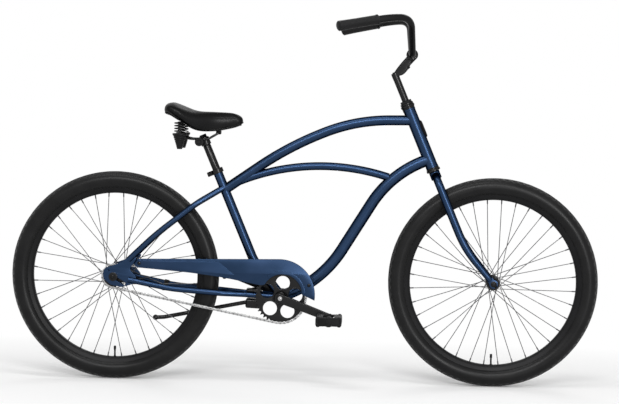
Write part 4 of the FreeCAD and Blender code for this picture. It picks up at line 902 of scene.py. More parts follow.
    def seat_tube(self) -> Surface:
        """Seat tube, bent forward at its foot, with the turned shell of the crank bearings.

        Returns:
            The surface.
        """
        points = (STANCE.seat(0, 0, self.seat_length), STANCE.seat(0, 0, self.seat_knee), STANCE.bracket)
        bent = tube(rounded_path(points, (self.seat_bend,)), self.seat_radius, 36)
        half, radius = self.shell_half, self.shell_radius
        lip = ((half + 0.5, radius - 1), (half + 2.5, radius - 1), (half + 3, radius - 2))
        profile = mirrored(((half - 0.6, radius), (half, radius - 0.6), *lip))
        return Surface.join((bent, lathe(profile, STANCE.bracket, ACROSS, 56)))

    def build(self) -> None:
        """Adds every piece of the frame."""
        put(self.head(), "head_tube_turned", self.body, Slot.PAINT, ("head_tube",))
        put(self.cups(), "headset_cups", self.body, Slot.BLACK)
        node = STANCE.on_seat_axis(self.seat_node)
        top = self.main_path(self.top_start, self.top_corners, node, self.top_bends)
        down = self.main_path(self.down_start, self.down_corners, STANCE.bracket, self.down_bends)
        put(tube(top, self.top_radius, 36), "top_tube_bent", self.body, Slot.PAINT, ("top_tube",))
        put(tube(self.mid_path(), self.mid_radius, 32), "mid_tube_bent", self.body, Slot.PAINT, ("mid_tube",))
        put(tube(down, self.down_radius, 40), "down_tube_bent", self.body, Slot.PAINT, ("down_tube",))
        put(self.seat_tube(), "seat_tube_bent", self.body, Slot.PAINT, ("seat_tube",))
        put(self.badge(), "head_badge_plate", self.body, Slot.BADGE, ("head_badge",))
        put(self.collar(), "seat_collar_ring", self.body, Slot.BLACK, ("seat_collar",))
        for side, name in SIDES:
            chain_stay = tube(self.chain_stay_path(side), self.stay_radius, 28, UP)
            put(chain_stay, f"{name}_chain_stay_bent", self.body, Slot.PAINT, (f"{name}_chain_stay",))
            seat_stay = tube(self.seat_stay_path(side), self.stay_radius, 28)
            put(seat_stay, f"{name}_seat_stay_bent", self.body, Slot.PAINT, (f"{name}_seat_stay",))
            put(self.dropout(side), f"{name}_dropout_plate", self.body, Slot.PAINT, (f"{name}_dropout",))


def axle_set(centre: Array, inside: float, holder: float, washer: float) -> Surface:
    """Axle with cones, washers and nuts, all turned about one axis.

    Args:
        centre: middle of the axle.
        inside: distance from the middle to the holder.
        holder: thickness of the holder.
        washer: radius of the washers.

    Returns:
        The surface.
    """
    clamp = inside + holder
    end = clamp + 14
    cone = ((inside / 2, 6.5), (inside - 12, 7.9), (inside, 7.9))
    disc = ((clamp, washer - 0.6), (clamp + 0.4, washer), (clamp + 1.4, washer), (clamp + 1.8, washer - 0.8))
    dome = ((clamp + 8, 6.2), (clamp + 9.2, 5.4), (clamp + 9.4, 4.8))
    pieces = [lathe(mirrored(((end - 1.4, 4.75), (end, 3.4))), centre, ACROSS, 24)]
    for side, _ in SIDES:
        along = ACROSS * side
        pieces.append(lathe(cone, centre, along, 32))
        pieces.append(lathe(disc, centre, along, 32))
        pieces.append(nut(centre, along, clamp + 1.6, 7.0, 15))
        pieces.append(lathe(dome, centre, along, 24))
    return Surface.join(pieces)


@dataclass(frozen=True)
class Fork:
    """Fork: steerer with its crown collar, raked blades, headset locknut and front axle."""

    body: str = "fork"
    collar_top: float = 399.7
    collar_height: float = 26.0
    collar_radius: float = 17.0
    steerer_radius: float = 12.7
    steerer_bore: float = 11.2
    blade_radius: float = 12.7
    tip_radius: float = 10.0
    spread: float = 52.5
    rake: float = 42.0
    rake_angle: float = 17.0
    rake_bend: float = 400.0
    locknut_low: float = 628.3
    locknut_high: float = 14.0
    hub_inside: float = 50.0
    tab_thickness: float = 5.0
    tab_radius: float = 14.0
    tab_neck: float = 36.0
    notch_half: float = 4.9
    washer: float = 9.5

    @property
    def heading(self) -> Array:
        """Direction of the raked ends, down and forward."""
        turn = math.radians(self.rake_angle)
        return STANCE.steer_ahead * math.sin(turn) - STANCE.steer_up * math.cos(turn)

    def blade(self, side: int) -> Surface:
        """One blade: a tube out over the tyre, down, and raked forward, whose taper starts at the knee.

        Args:
            side: -1 for right, 1 for left.

        Returns:
            The blade with its flat tab.
        """
        middle = self.collar_top - self.collar_height / 2
        tip = STANCE.steer(self.rake, side * self.spread, 0)
        knee = tip - self.heading * (self.rake / math.sin(math.radians(self.rake_angle)))
        end = tip - self.heading * 15
        root, shoulder = STANCE.steer(0, side * 6, middle), STANCE.steer(0, side * self.spread, middle - 18)
        path = rounded_path((root, shoulder, knee, end), (30, self.rake_bend), 20)
        extra = path[-2] + (end - path[-2]) * np.linspace(0, 1, 12)[1:-1, None]
        path = np.vstack((path[:-1], extra, path[-1:]))
        drop = np.clip(((knee - path) @ STANCE.steer_up) / ((knee - end) @ STANCE.steer_up), 0, 1)
        radius = self.blade_radius + (self.tip_radius - self.blade_radius) * drop
        radius[-3:] *= np.array((1.0, 0.97, 0.8))
        return Surface.join((tube(path, radius, 32, STANCE.steer_ahead), self.tab(side)))

    def tab(self, side: int) -> Surface:
        """Flat fork end: a round plate with a neck, notched from below for the axle.

        Args:
            side: -1 for right, 1 for left.

        Returns:
            The surface.
        """
        axle, half = flat(STANCE.front_axle), self.notch_half
        down = unit(flat(self.heading))
        wide = np.array((-down[1], down[0]))
        angle = np.linspace(-0.25 * math.pi, 1.25 * math.pi, 33)[:, None]
        around = axle + self.tab_radius * (np.cos(angle) * -wide + np.sin(angle) * down)
        neck = axle - self.tab_neck * down + np.array((9 * wide, -9 * wide))
        bed = np.array(((1, 0), (0.7, -0.25), (0, -0.33), (-0.7, -0.25), (-1, 0)))
        notch = axle + bed[:, :1] * half * wide + bed[:, 1:] * 15 * down
        above = ((around - axle) @ down < 0) * 99
        low = np.argmin(np.abs((around - axle) @ wide - half) + above)
        high = np.argmin(np.abs((around - axle) @ wide + half) + above)
        first, last = sorted((low, high))
        cut = notch if low < high else notch[::-1]
        outline = np.vstack((around[: first + 1], cut, around[last:], neck))
        inside = side * self.hub_inside
        return plate((outline,), inside, inside + side * self.tab_thickness, 0.6)

    def steerer(self) -> Surface:
        """Steerer: one turned profile, with the crown collar at its foot and a bore at its top.

        Returns:
            The surface.
        """
        top, low, wide = self.collar_top, self.collar_top - self.collar_height, self.collar_radius
        end = self.locknut_low + self.locknut_high
        collar = ((low, wide - 1.8), (low + 1.8, wide), (top - 1.8, wide), (top, wide - 1.2))
        shaft = ((top + 0.2, self.steerer_radius), (end, self.steerer_radius))
        bore = ((end, self.steerer_bore), (self.locknut_low, self.steerer_bore))
        return lathe(collar + shaft + bore, STANCE.steer(0, 0, 0), STANCE.steer_up)

    def build(self) -> None:
        """Adds the fork's pieces."""
        put(self.steerer(), "steerer_turned", self.body, Slot.PAINT, ("fork_steerer",))
        for side, name in SIDES:
            put(self.blade(side), f"{name}_blade_bent", self.body, Slot.PAINT, (f"{name}_fork_blade",))
        base, seam = STANCE.steer(0, 0, 0), self.locknut_low
        race = lathe(((seam, 20), (seam + 0.8, 21), (seam + 5.2, 21), (seam + 6, 20)), base, STANCE.steer_up)
        locknut = nut(base, STANCE.steer_up, seam + 6, 8, 36)
        put(Surface.join((race, locknut)), "locknut_turned", self.body, Slot.BLACK, ("headset_locknut",))
        axle = axle_set(STANCE.front_axle, self.hub_inside, self.tab_thickness, self.washer)
        put(axle, "front_axle_turned", self.body, Slot.BLACK, ("front_axle",))


@dataclass(frozen=True)
class Wheel:
    """Spoked wheel with a balloon tyre."""

    name: str
    centre: Array
    flange_spread: float
    flange_radius: float
    barrel_radius: float
    shell_half: float
    outer: float = 334.0
    section: float = 29.0
    tread_depth: float = 1.3
    rim_inner: float = 264.0
    spokes: int = 36
    spoke_radius: float = 1.2
    spoke_lead: float = 60.0
    outside_offset: float = 4.3
    inside_offset: float = -2.6
    rows: int = 720

    def tyre(self) -> Surface:
        """Tyre as a ring: a circle of the section radius carried round the wheel.

        The tread sinks by a smooth groove at the middle and at both sides of it. The shoulders carry a row of
        blocks, each as long as the gap after it.

        Returns:
            The surface.
        """
        reach = math.radians(144)
        tread_reach = np.radians(np.linspace(-46, 46, 47))
        across = np.sort(np.concatenate((np.linspace(-reach, reach, 41), tread_reach)))
        around = np.linspace(0, 2 * math.pi, self.rows, endpoint=False)[:, None]
        degrees = np.degrees(across)[None, :]
        grooves = sum(np.exp(-(((degrees - middle) / 1.6) ** 4)) for middle in (-13, 0, 13))
        blocks = 0.5 + 0.5 * np.tanh(6 * np.sin(around * 90 + np.sign(degrees) * 0.8))
        shoulder = np.exp(-(((np.abs(degrees) - 33) / 9.5) ** 8)) * blocks
        crown = np.exp(-((degrees / 24) ** 8))
        wave = 0.5 + 0.5 * np.tanh(5 * np.sin(around * 60 + degrees * 0.09))
        middle_band = crown * (1 - 0.9 * np.clip(grooves, 0, 1)) - 0.1 * crown * wave
        side_rib = 0.35 * np.exp(-(((np.abs(degrees) - 96) / 1.2) ** 2))
        bead_rib = 0.5 * np.exp(-(((np.abs(degrees) - 124) / 1.5) ** 2))
        tread = np.maximum(shoulder, middle_band) - np.exp(-((degrees / 44) ** 12))
        radius = self.section + self.tread_depth * tread + side_rib + bead_rib
        ring = self.outer - self.section + radius * np.cos(across)
        side = radius * np.sin(across) + 0 * around
        rows = np.stack((ring * np.cos(around), side, ring * np.sin(around)), axis=-1) + self.centre
        return Surface.grid(rows, loop_rows=True)

    def rim(self) -> Surface:
        """Rim: one turned ring with rounded lips, sloping sides and a sunk bed.

        Returns:
            The surface.
        """
        lip = ((16.6, 285.5), (17.2, 284.2), (17, 282.4), (15.4, 279.5))
        slope = ((13.6, 273), (10.5, 267.2), (6.5, 264.6), (0, self.rim_inner))
        half = lip + slope
        bed = ((14, 285), (12, 278), (-12, 278), (-14, 285))
        profile = (*((-y, r) for y, r in half), *half[-2::-1], *bed)
        return lathe(profile, self.centre, ACROSS, 240, ring=True)

    def spoke(self, number: int) -> Surface:
        """One spoke: a wire with an elbow at the flange, and a turned nipple at the rim.

        Args:
            number: place of the spoke round the rim; sides take turns, and so do leading and trailing pairs.

        Returns:
            The surface.
        """
        outward = ACROSS * (1 if number % 2 else -1)
        lead = 1 if number // 2 % 2 else -1
        rim_angle = 2 * math.pi * (number + 0.5) / self.spokes - math.pi / 2
        head_angle = rim_angle + lead * math.radians(self.spoke_lead)
        offset = self.outside_offset if lead > 0 else self.inside_offset
        hub_place = vec(math.cos(head_angle), 0, math.sin(head_angle)) * (self.flange_radius - 3.5)
        rim_place = vec(math.cos(rim_angle), 0, math.sin(rim_angle)) * (self.rim_inner + 1)
        head = self.centre + hub_place + outward * (self.flange_spread + offset)
        foot = self.centre + rim_place + outward * 3
        reach = unit(foot - head)
        inward = -outward * math.copysign(1, offset)
        path = np.array((head + inward * 3.2, head - reach * 0.2 + inward * 0.6, head + reach * 1.5, foot))
        wire = tube(path, self.spoke_radius, 8, unit(np.cross(reach, ACROSS)))
        nipple = lathe(((0, 1.5), (1, 2.1), (11, 2.1), (14, 3)), foot - reach * 13, reach, 10)
        return Surface.join((wire, nipple))

    def hub(self) -> Surface:
        """Hub shell: one turned profile with a waisted barrel, two flanges and dust caps.

        Returns:
            The surface.
        """
        spread, rim, barrel, end = self.flange_spread, self.flange_radius, self.barrel_radius, self.shell_half
        neck = ((spread - 10, barrel), (spread - 3, barrel + 2), (spread - 1.5, rim - 6))
        inner_face = ((spread - 1.5, rim - 0.6), (spread - 0.9, rim))
        outer_face = ((spread + 0.9, rim), (spread + 1.5, rim - 0.6), (spread + 1.5, rim - 7))
        cap = ((spread + 2.4, barrel), (end - 1, barrel - 1), (end, barrel - 2), (end, 8.1))
        half = neck + inner_face + outer_face + cap
        profile = (*((-y, r) for y, r in reversed(half)), (0, barrel * 0.94), *half)
        return lathe(profile, self.centre, ACROSS, 64)

    def valve(self) -> Surface:
        """Valve: one turned profile with a collar, a threaded stem and a cap.

        Returns:
            The surface.
        """
        collar = [(-2, 4.2), (1.5, 4.2), (2, 3)]
        thread = [(2.5 + step * 0.9, 3 - 0.25 * (step % 2)) for step in range(22)]
        cap = [(22, 3.9), (23, 4), (32.5, 4), (34, 2.8)]
        return lathe(collar + thread + cap, self.centre - UP * self.rim_inner, UP, 24)

    def build(self) -> None:
        """Adds the wheel's pieces."""
        name, body = self.name, f"{self.name}_wheel"
        put(self.tyre(), f"{name}_tyre_moulded", body, Slot.TYRE, (f"{name}_tyre",), FINE_CREASE)
        put(self.rim(), f"{name}_rim_rolled", body, Slot.RIM, (f"{name}_rim",))
        lacing = Surface.join(self.spoke(number) for number in range(self.spokes))
        put(lacing, f"{name}_spokes_laced", body, Slot.STEEL, (f"{name}_spokes",))
        put(self.hub(), f"{name}_hub_turned", body, Slot.BLACK, (f"{name}_hub",))
        put(self.valve(), f"{name}_valve_turned", body, Slot.PLASTIC, (f"{name}_valve",))


@dataclass(frozen=True)
class Drivetrain:
    """Chain, chainring, sprocket, cranks, pedals and brake arm."""

    pitch: float = 12.7
    ring_teeth: int = 40
    sprocket_teeth: int = 18
    links: int = 114
    chain_line: float = 42.0
    link_end: float = 4.1
    link_waist: float = 3.1
    window_reach: float = 48.0
    window_radius: float = 22.3
    crank_length: float = 168.0
    crank_plane: float = 62.5
    crank_half: float = 6.5
    crank_end: float = 12.5
    pedal_start: float = 80.3
    pedal_end: float = 164.0
    cheek: float = 6.0
    tread_width: float = 23.0
    brake_dip: float = -17.0
    rear_inside: float = 55.0
    dropout_thickness: float = 5.0
    rear_washer: float = 14.0

    def pitch_radius(self, teeth: int) -> float:
        """Returns the radius of the circle through the chain's pins."""
        return self.pitch / 2 / math.sin(math.pi / teeth)

    def wrapped(self, centre: Array, teeth: int, phase: float) -> Array:
        """Returns the places of the pins if the whole chain went round one toothed wheel."""
        turn = phase - np.arange(self.links) * 2 * math.pi / teeth
        return centre + self.pitch_radius(teeth) * np.column_stack((np.cos(turn), 0 * turn, np.sin(turn)))

    def loop(self) -> tuple[Array, float, float]:
        """Pins of the chain: two tangent runs and two arcs.

        Returns:
            Places of the pins, and the angles in radians of one chainring valley and one sprocket valley.
        """
        front, rear = STANCE.bracket, STANCE.rear_axle
        span = float(np.linalg.norm(front - rear))
        ahead = unit(front - rear)
        rise = unit(np.cross(ahead, ACROSS))
        big, small = self.pitch_radius(self.ring_teeth), self.pitch_radius(self.sprocket_teeth)
        lean = math.asin((big - small) / span)
        top = rise * math.cos(lean) - ahead * math.sin(lean)
        low = -rise * math.cos(lean) - ahead * math.sin(lean)
        run = span * math.cos(lean) / self.pitch
        wrap = self.ring_teeth * (math.pi + 2 * lean) / (2 * math.pi)
        ring_phase = math.atan2(top[2], top[0]) + run * 2 * math.pi / self.ring_teeth
        sprocket_phase = math.atan2(low[2], low[0]) + (2 * run + wrap) * 2 * math.pi / self.sprocket_teeth
        number = np.arange(self.links)
        upper, upper_end = rear + top * small, front + top * big
        lower, lower_end = front + low * big, rear + low * small
        forth = upper + unit(upper_end - upper) * (number * self.pitch)[:, None]
        back = lower + unit(lower_end - lower) * ((number - run - wrap) * self.pitch)[:, None]
        round_front = self.wrapped(front, self.ring_teeth, ring_phase)
        round_rear = self.wrapped(rear, self.sprocket_teeth, sprocket_phase)
        where = np.select((number < run, number < run + wrap, number < 2 * run + wrap), (0, 1, 2), 3)
        pins = np.choose(where[:, None], (forth, round_front, back, round_rear))
        return pins - ACROSS * self.chain_line, ring_phase, sprocket_phase

    def chain(self) -> tuple[Surface, Surface]:
        """Chain: an inner and an outer link, each copied to every second pin, and a pin with its roller.

        Returns:
            The waisted plates, and the pins.
        """
        pins, _, _ = self.loop()
        along = unit(np.roll(pins, -1, axis=0) - pins)
        frames = np.stack((along, np.broadcast_to(ACROSS, along.shape), np.cross(along, ACROSS)), axis=1)
        half = self.pitch / 2
        turn = np.linspace(-2.0, 2.0, 13)
        front = np.column_stack((half + self.link_end * np.cos(turn), self.link_end * np.sin(turn)))
        outline = np.vstack((front, (0.0, self.link_waist), -front, (0.0, -self.link_waist))) + (half, 0)
        parts = []
        for first, inside in enumerate((2.6, 3.8)):
            link = [plate((outline,), side * inside, side * (inside + 1.15), 0.25) for side, _ in SIDES]
            parts.append(Surface.join(link).repeated(pins[first::2], frames[first::2]))
        origin = vec(0, 0, 0)
        pin = lathe(mirrored(((4.8, 1.7), (5.6, 1.7), (5.9, 1.2))), origin, ACROSS, 12)
        roller = lathe(mirrored(((2.3, 3.8), (2.5, 3.6))), origin, ACROSS, 14)
        return Surface.join(parts), Surface.join((pin, roller)).repeated(pins, frames)

    def teeth_outline(self, centre: Array, teeth: int, phase: float) -> Array:
        """Toothed outline: a round seat for each roller and a blunt tooth between each two.

        Args:
            centre: middle of the wheel.
            teeth: number of teeth.
            phase: angle of one seat.

        Returns:
            Table of (x, z).
        """
        step = 2 * math.pi / teeth
        seat = mirrored(((0.08, -4.0), (0.19, -3.1), (0.28, -1.2), (0.36, 1.5)))
        shape = np.array(seat + [(0.44, 3.2), (0.56, 3.2)])
        angle = phase + (np.arange(teeth)[:, None] + shape[None, :, 0]) * step
        radius = self.pitch_radius(teeth) + shape[None, :, 1]
        points = np.stack((radius * np.cos(angle), radius * np.sin(angle)), axis=-1)
        return flat(centre) + points.reshape(-1, 2)

    def chainring(self) -> Surface:
        """Chainring: a toothed plate with five round windows, each with a raised lip.

        Returns:
            The surface.
        """
        _, phase, _ = self.loop()
        middle, radius = flat(STANCE.bracket), self.window_radius
        places = arc_points(middle, self.window_reach, 10, 298, 5)
        windows = [circle(place, radius) for place in places]
        teeth = self.teeth_outline(STANCE.bracket, self.ring_teeth, phase)
        line = -self.chain_line
        sheet = plate((teeth, circle(middle, 18.5), *windows), line - 1.5, line + 1.5, 0.5)
        lip = np.array(((0.6, 0), (2.1, 0.3), (2.4, 0.9), (2.1, 1.6), (0.6, 1.9))) + (0, radius)
        lips = [lathe(lip, vec(x, line, z), -ACROSS, 40, ring=True) for x, z in places]
        return Surface.join([sheet] + lips)

    def sprocket(self) -> Surface:
        """Sprocket: a toothed plate on its turned driver.

        Returns:
            The surface.
        """
        _, _, phase = self.loop()
        outline = self.teeth_outline(STANCE.rear_axle, self.sprocket_teeth, phase)
        line = -self.chain_line
        teeth = plate((outline, circle(flat(STANCE.rear_axle), 12)), line - 1.4, line + 1.4, 0.4)
        profile = ((34.4, 8.2), (34.4, 15), (48.5, 15), (50, 13.5), (50, 8.2))
        return Surface.join((teeth, lathe(profile, STANCE.rear_axle, -ACROSS, 48, ring=True)))

    def eye(self, side: int) -> Array:
        """Returns the place of a pedal's axis in the middle plane."""
        return joint("right_pedal_spin" if side < 0 else "left_pedal_spin")[0] * MIDDLE_PLANE

    def arm(self, side: int) -> Surface:
        """Crank arm: a tapered bar with a round end, a turned boss, the pedal spindle and its collar.

        Args:
            side: -1 for right, 1 for left.

        Returns:
            The surface.
        """
        eye, root, along = self.eye(side), STANCE.bracket, ACROSS * side
        run = unit(eye - root)
        rise = np.cross(run, ACROSS)
        plane, thick, end = along * self.crank_plane, self.crank_half, self.crank_end
        neck = self.crank_length - 14
        stations = ((-10, 13.5, 6.2), (20, 14.8, thick), (70, 13.6, thick), (neck, 12.6, thick))
        sections = [(root + run * x + plane, along * half, rise * high) for x, high, half in stations]
        for turn in np.radians((0, 22, 45, 62, 76, 86)):
            high = max(end * math.cos(turn), 1)
            sections.append((eye + run * (end * math.sin(turn)) + plane, along * thick, rise * high))
        boss = ((40, 17), (41, 19), (63, 19), (65, 17.6), (65, 12.5), (63.6, 12), (63.6, 4), (65.4, 3.4))
        spindle = ((56, 8), (80, 8), (80.1, 5.5), (157, 5.5), (158, 4))
        collar = ((69, 7.6), (69.2, 9.2), (78.6, 9.2), (79.2, 8.6))
        return Surface.join((
            rounded_bar(sections, 3.2),
            lathe(boss, root, along, 56),
            lathe(spindle, eye, along, 28),
            lathe(collar, eye, along, 6),
        ))

    def bolt(self, side: int) -> Surface:
        """Returns the domed bolt at the root of a crank arm."""
        profile = ((68.6, 7), (70.2, 7), (71, 6.2), (71, 4.4), (69.8, 4), (70.2, 2.6), (70.6, 0.8))
        return lathe(profile, STANCE.bracket, ACROSS * side, 40)

    def pedal(self, side: int) -> Surface:
        """Block pedal: a barrel, two lugged cheeks, the outer one rimmed, and two ribbed treads.

        The tread's height over its width is four ribs, each a softened square wave, and a rounded edge.

        Args:
            side: -1 for right, 1 for left.

        Returns:
            The surface.
        """
        place, start, end, wall = self.eye(side), self.pedal_start, self.pedal_end, self.cheek
        eye, along = flat(place), ACROSS * side
        lugs = np.array(mirrored(((5, 16.2), (8, 13.8), (27, 13.8), (30, 16.2), (37, 16.2), (41, 9))))
        cheek = eye + rounded_outline(np.vstack((lugs[::-1], lugs * (1, -1))), 1.6, 4)
        pane = np.array(((13, -6), (16, -6), (16, 6), (13, 6)))
        panes = [eye + rounded_outline(pane * (fore, 1), 1) for fore in (1, -1)]
        hollow = np.array(((-1, -1), (1, -1), (1, 1), (-1, 1))) * (33.62, 9.3)
        rib = np.linspace(0, self.tread_width, 93)
        wave = 0.5 - 0.5 * np.tanh(5 * np.cos(rib / self.tread_width * 4 * 2 * math.pi))
        crest = 15.4 - 2.6 * wave - 4.5 * np.exp(-rib / 1.1)
        pieces = [
            plate((cheek, circle(eye, 5.7, 24), *panes), side * start, side * (start + wall), 1.0),
            plate((cheek,), side * (end - wall), side * end, 1.2),
            plate((cheek, eye + rounded_outline(hollow, 6, 8)), side * (end - 0.2), side * (end + 1.6), 0.6),
        ]
        for fore in (1, -1):
            top = np.column_stack((fore * (40.6 - rib), crest))
            outline = eye + np.vstack((top, (top * (1, -1))[::-1]))
            pieces.append(plate((outline,), side * (start + wall - 0.5), side * (end - wall + 0.5), 0.4))
        barrel = ((start, 5.8), (start, 9.4), (start + 0.6, 10), (end - 0.6, 10), (end - 0.6, 5.8))
        cap = ((end - 0.5, 10.5), (end + 0.6, 9.6), (end + 0.9, 4))
        pieces.append(lathe(barrel, place, along, 36, ring=True))
        pieces.append(lathe(cap, place, along, 32))
        return Surface.join(pieces)

    def brake(self) -> Surface:
        """Coaster brake: its turned cover, and its flat arm under the left stay.

        Returns:
            The surface.
        """
        axle = STANCE.rear_axle
        dip = math.radians(self.brake_dip)
        run, rise = np.array((math.cos(dip), math.sin(dip))), np.array((-math.sin(dip), math.cos(dip)))
        reach = (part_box("brake_arm")[1][0] / MM - axle[0] - 6) / math.cos(dip)
        upper = ((reach + 5, 3), (reach, 6), (30, 8.5), (-10, 8.5))
        edge = np.array(upper + tuple((x, -z) for x, z in reversed(upper)))
        outline = rounded_outline(flat(axle) + edge[:, :1] * run + edge[:, 1:] * rise, 6)
        strap = plate((outline, circle(flat(axle), 8.2, 24)), 43, 46, 0.6)
        cover = ((34.4, 8.2), (34.4, 17), (37, 19), (44.4, 19), (46.3, 17.5), (46.3, 8.2))
        return Surface.join((strap, lathe(cover, axle, ACROSS, 56, ring=True)))

    def build(self) -> None:
        """Adds the pieces of the drivetrain."""
        links, pins = self.chain()
        put(links, "chain_links", "frame", Slot.CHAIN, ("chain",), FINE_CREASE)
        put(pins, "chain_pins", "frame", Slot.STEEL, (), FINE_CREASE)
        put(self.chainring(), "chainring_pressed", "crank", Slot.BLACK, ("chainring",), FINE_CREASE)
        put(self.sprocket(), "sprocket_toothed", "sprocket", Slot.BLACK, ("rear_sprocket",), FINE_CREASE)
        spindle = lathe(mirrored(((62.8, 8.4), (63.4, 7))), STANCE.bracket, ACROSS, 32)
        put(spindle, "crank_spindle_turned", "crank", Slot.BLACK, ("crank_spindle",))
        for side, name in SIDES:
            put(self.arm(side), f"{name}_crank_forged", "crank", Slot.BLACK, (f"{name}_crank_arm",))
            put(self.bolt(side), f"{name}_crank_bolt", "crank", Slot.CHAIN)
            put(self.pedal(side), f"{name}_pedal_moulded", f"{name}_pedal", Slot.PLASTIC, (f"{name}_pedal",))
        axle = axle_set(STANCE.rear_axle, self.rear_inside, self.dropout_thickness, self.rear_washer)
        put(axle, "rear_axle_turned", "frame", Slot.BLACK, ("rear_axle",))
        put(self.brake(), "brake_arm_pressed", "frame", Slot.BLACK, ("brake_arm",))


@dataclass(frozen=True)
class Guard:
    """Chain guard: pressed sheet with a raised band, a turned-in edge and two screws."""

    body: str = "frame"
    back: float = 4.5
    up: float = 9.5
    outer: float = 114.0
    nose_angle: float = -8.0
    cut_ahead: float = 5.0
    cut_up: float = 12.5
    cut: float = 63.0
    cut_end: float = 149.0
    heel_angle: float = 157.0
    band_width: float = 11.0
    band_end: float = 132.0
    tail_place: tuple[float, float] = (80, 44)
    tail_radius: float = 14.0
    waist: tuple[float, float] = (-300.0, 347.0)
    panel_corners: Pairs = ((-528, 387), (-268, 388), (-214, 343.5), (-300, 352.5), (-528, 369))
    front_screw: tuple[float, float] = (20.0, 318.0)
    inside: float = 50.0
    thickness: float = 1.5
    hem: float = 7.0

    @property
    def centre(self) -> Array:
        """Middle of the round nose as (x, z)."""
        return flat(STANCE.bracket) + (-self.back, self.up)

    @property
    def eye(self) -> Array:
        """Middle of the cut-out round the chainring as (x, z)."""
        return flat(STANCE.bracket) + (self.cut_ahead, self.cut_up)

    @property
    def tail(self) -> Array:
        """Middle of the rounded tail as (x, z)."""
        return flat(STANCE.rear_axle) + self.tail_place

    @property
    def face(self) -> float:
        """Y of the sheet's outer face."""
        return -self.inside - self.thickness

    def lower_edge(self) -> Array:
        """Lower edge from the ring cut-out back to the tail, with both corners eased by parabolas.

        Returns:
            Points (x, z) of the edge.
        """
        heel = arc_points(self.eye, self.cut, self.heel_angle, self.heel_angle, 1)[0]
        start = arc_points(self.eye, self.cut, self.cut_end, self.cut_end, 1)[0]
        waist, low = np.array(self.waist), self.tail + (0, -self.tail_radius)
        near_heel, near_waist = heel + (waist - heel) * 0.12, heel + (waist - heel) * 0.5
        first_bend = parabola(start, heel, near_heel, 12)[1:]
        return np.vstack((first_bend, parabola(near_waist, waist, waist + (low - waist) * 0.5, 12)))

    def sheet(self) -> Surface:
        """Sheet with its band round the cut-out, its shallow pressed panel and the hem along its top.

        Returns:
            The surface.
        """
        wall = self.thickness
        nose = arc_points(self.centre, self.outer, 90, self.nose_angle, 60)
        cut = arc_points(self.eye, self.cut, 0, self.cut_end, 70)
        tail = arc_points(self.tail, self.tail_radius, 270, 90, 17)
        outline = np.vstack((tail, nose, cut, self.lower_edge()))
        band_out = arc_points(self.eye, self.cut + self.band_width, 1.5, self.band_end, 50)
        band_in = arc_points(self.eye, self.cut + 0.3, self.band_end, 1.5, 50)
        hem_out = np.vstack((arc_points(self.tail, self.tail_radius, 200, 90, 12), nose))
        hem_in = arc_points(self.centre, self.outer - wall, self.nose_angle, 90, 60)
        hem_tail = arc_points(self.tail, self.tail_radius - wall, 90, 200, 12)
        panel = rounded_outline(np.array(self.panel_corners, dtype=float), 7)
        return Surface.join((
            plate((outline,), -self.inside, self.face, 0.5),
            plate((panel,), self.face + 0.5, self.face - 0.45, 0.45),
            plate((np.vstack((band_out, band_in)),), self.face + 0.4, self.face - 1, 0.5),
            plate((np.vstack((hem_out, hem_in, hem_tail)),), -self.inside - 0.4, self.hem - self.inside, 0.4),
        ))

    def screws(self) -> Surface:
        """Round screw heads at the tail and above the down tube.

        Returns:
            The surface.
        """
        head = ((0, 5.6), (0.8, 5.4), (2.0, 4.2), (2.4, 2.2), (1.6, 2.0), (1.6, 0.4))
        places = (self.tail + (2, 0), self.front_screw)
        return Surface.join(lathe(head, vec(x, self.face, z), -ACROSS, 28) for x, z in places)

    def build(self) -> None:
        """Adds the guard's pieces."""
        put(self.sheet(), "guard_pressed", self.body, Slot.PAINT, ("chain_guard",), FINE_CREASE)
        put(self.screws(), "guard_screws", self.body, Slot.BLACK)


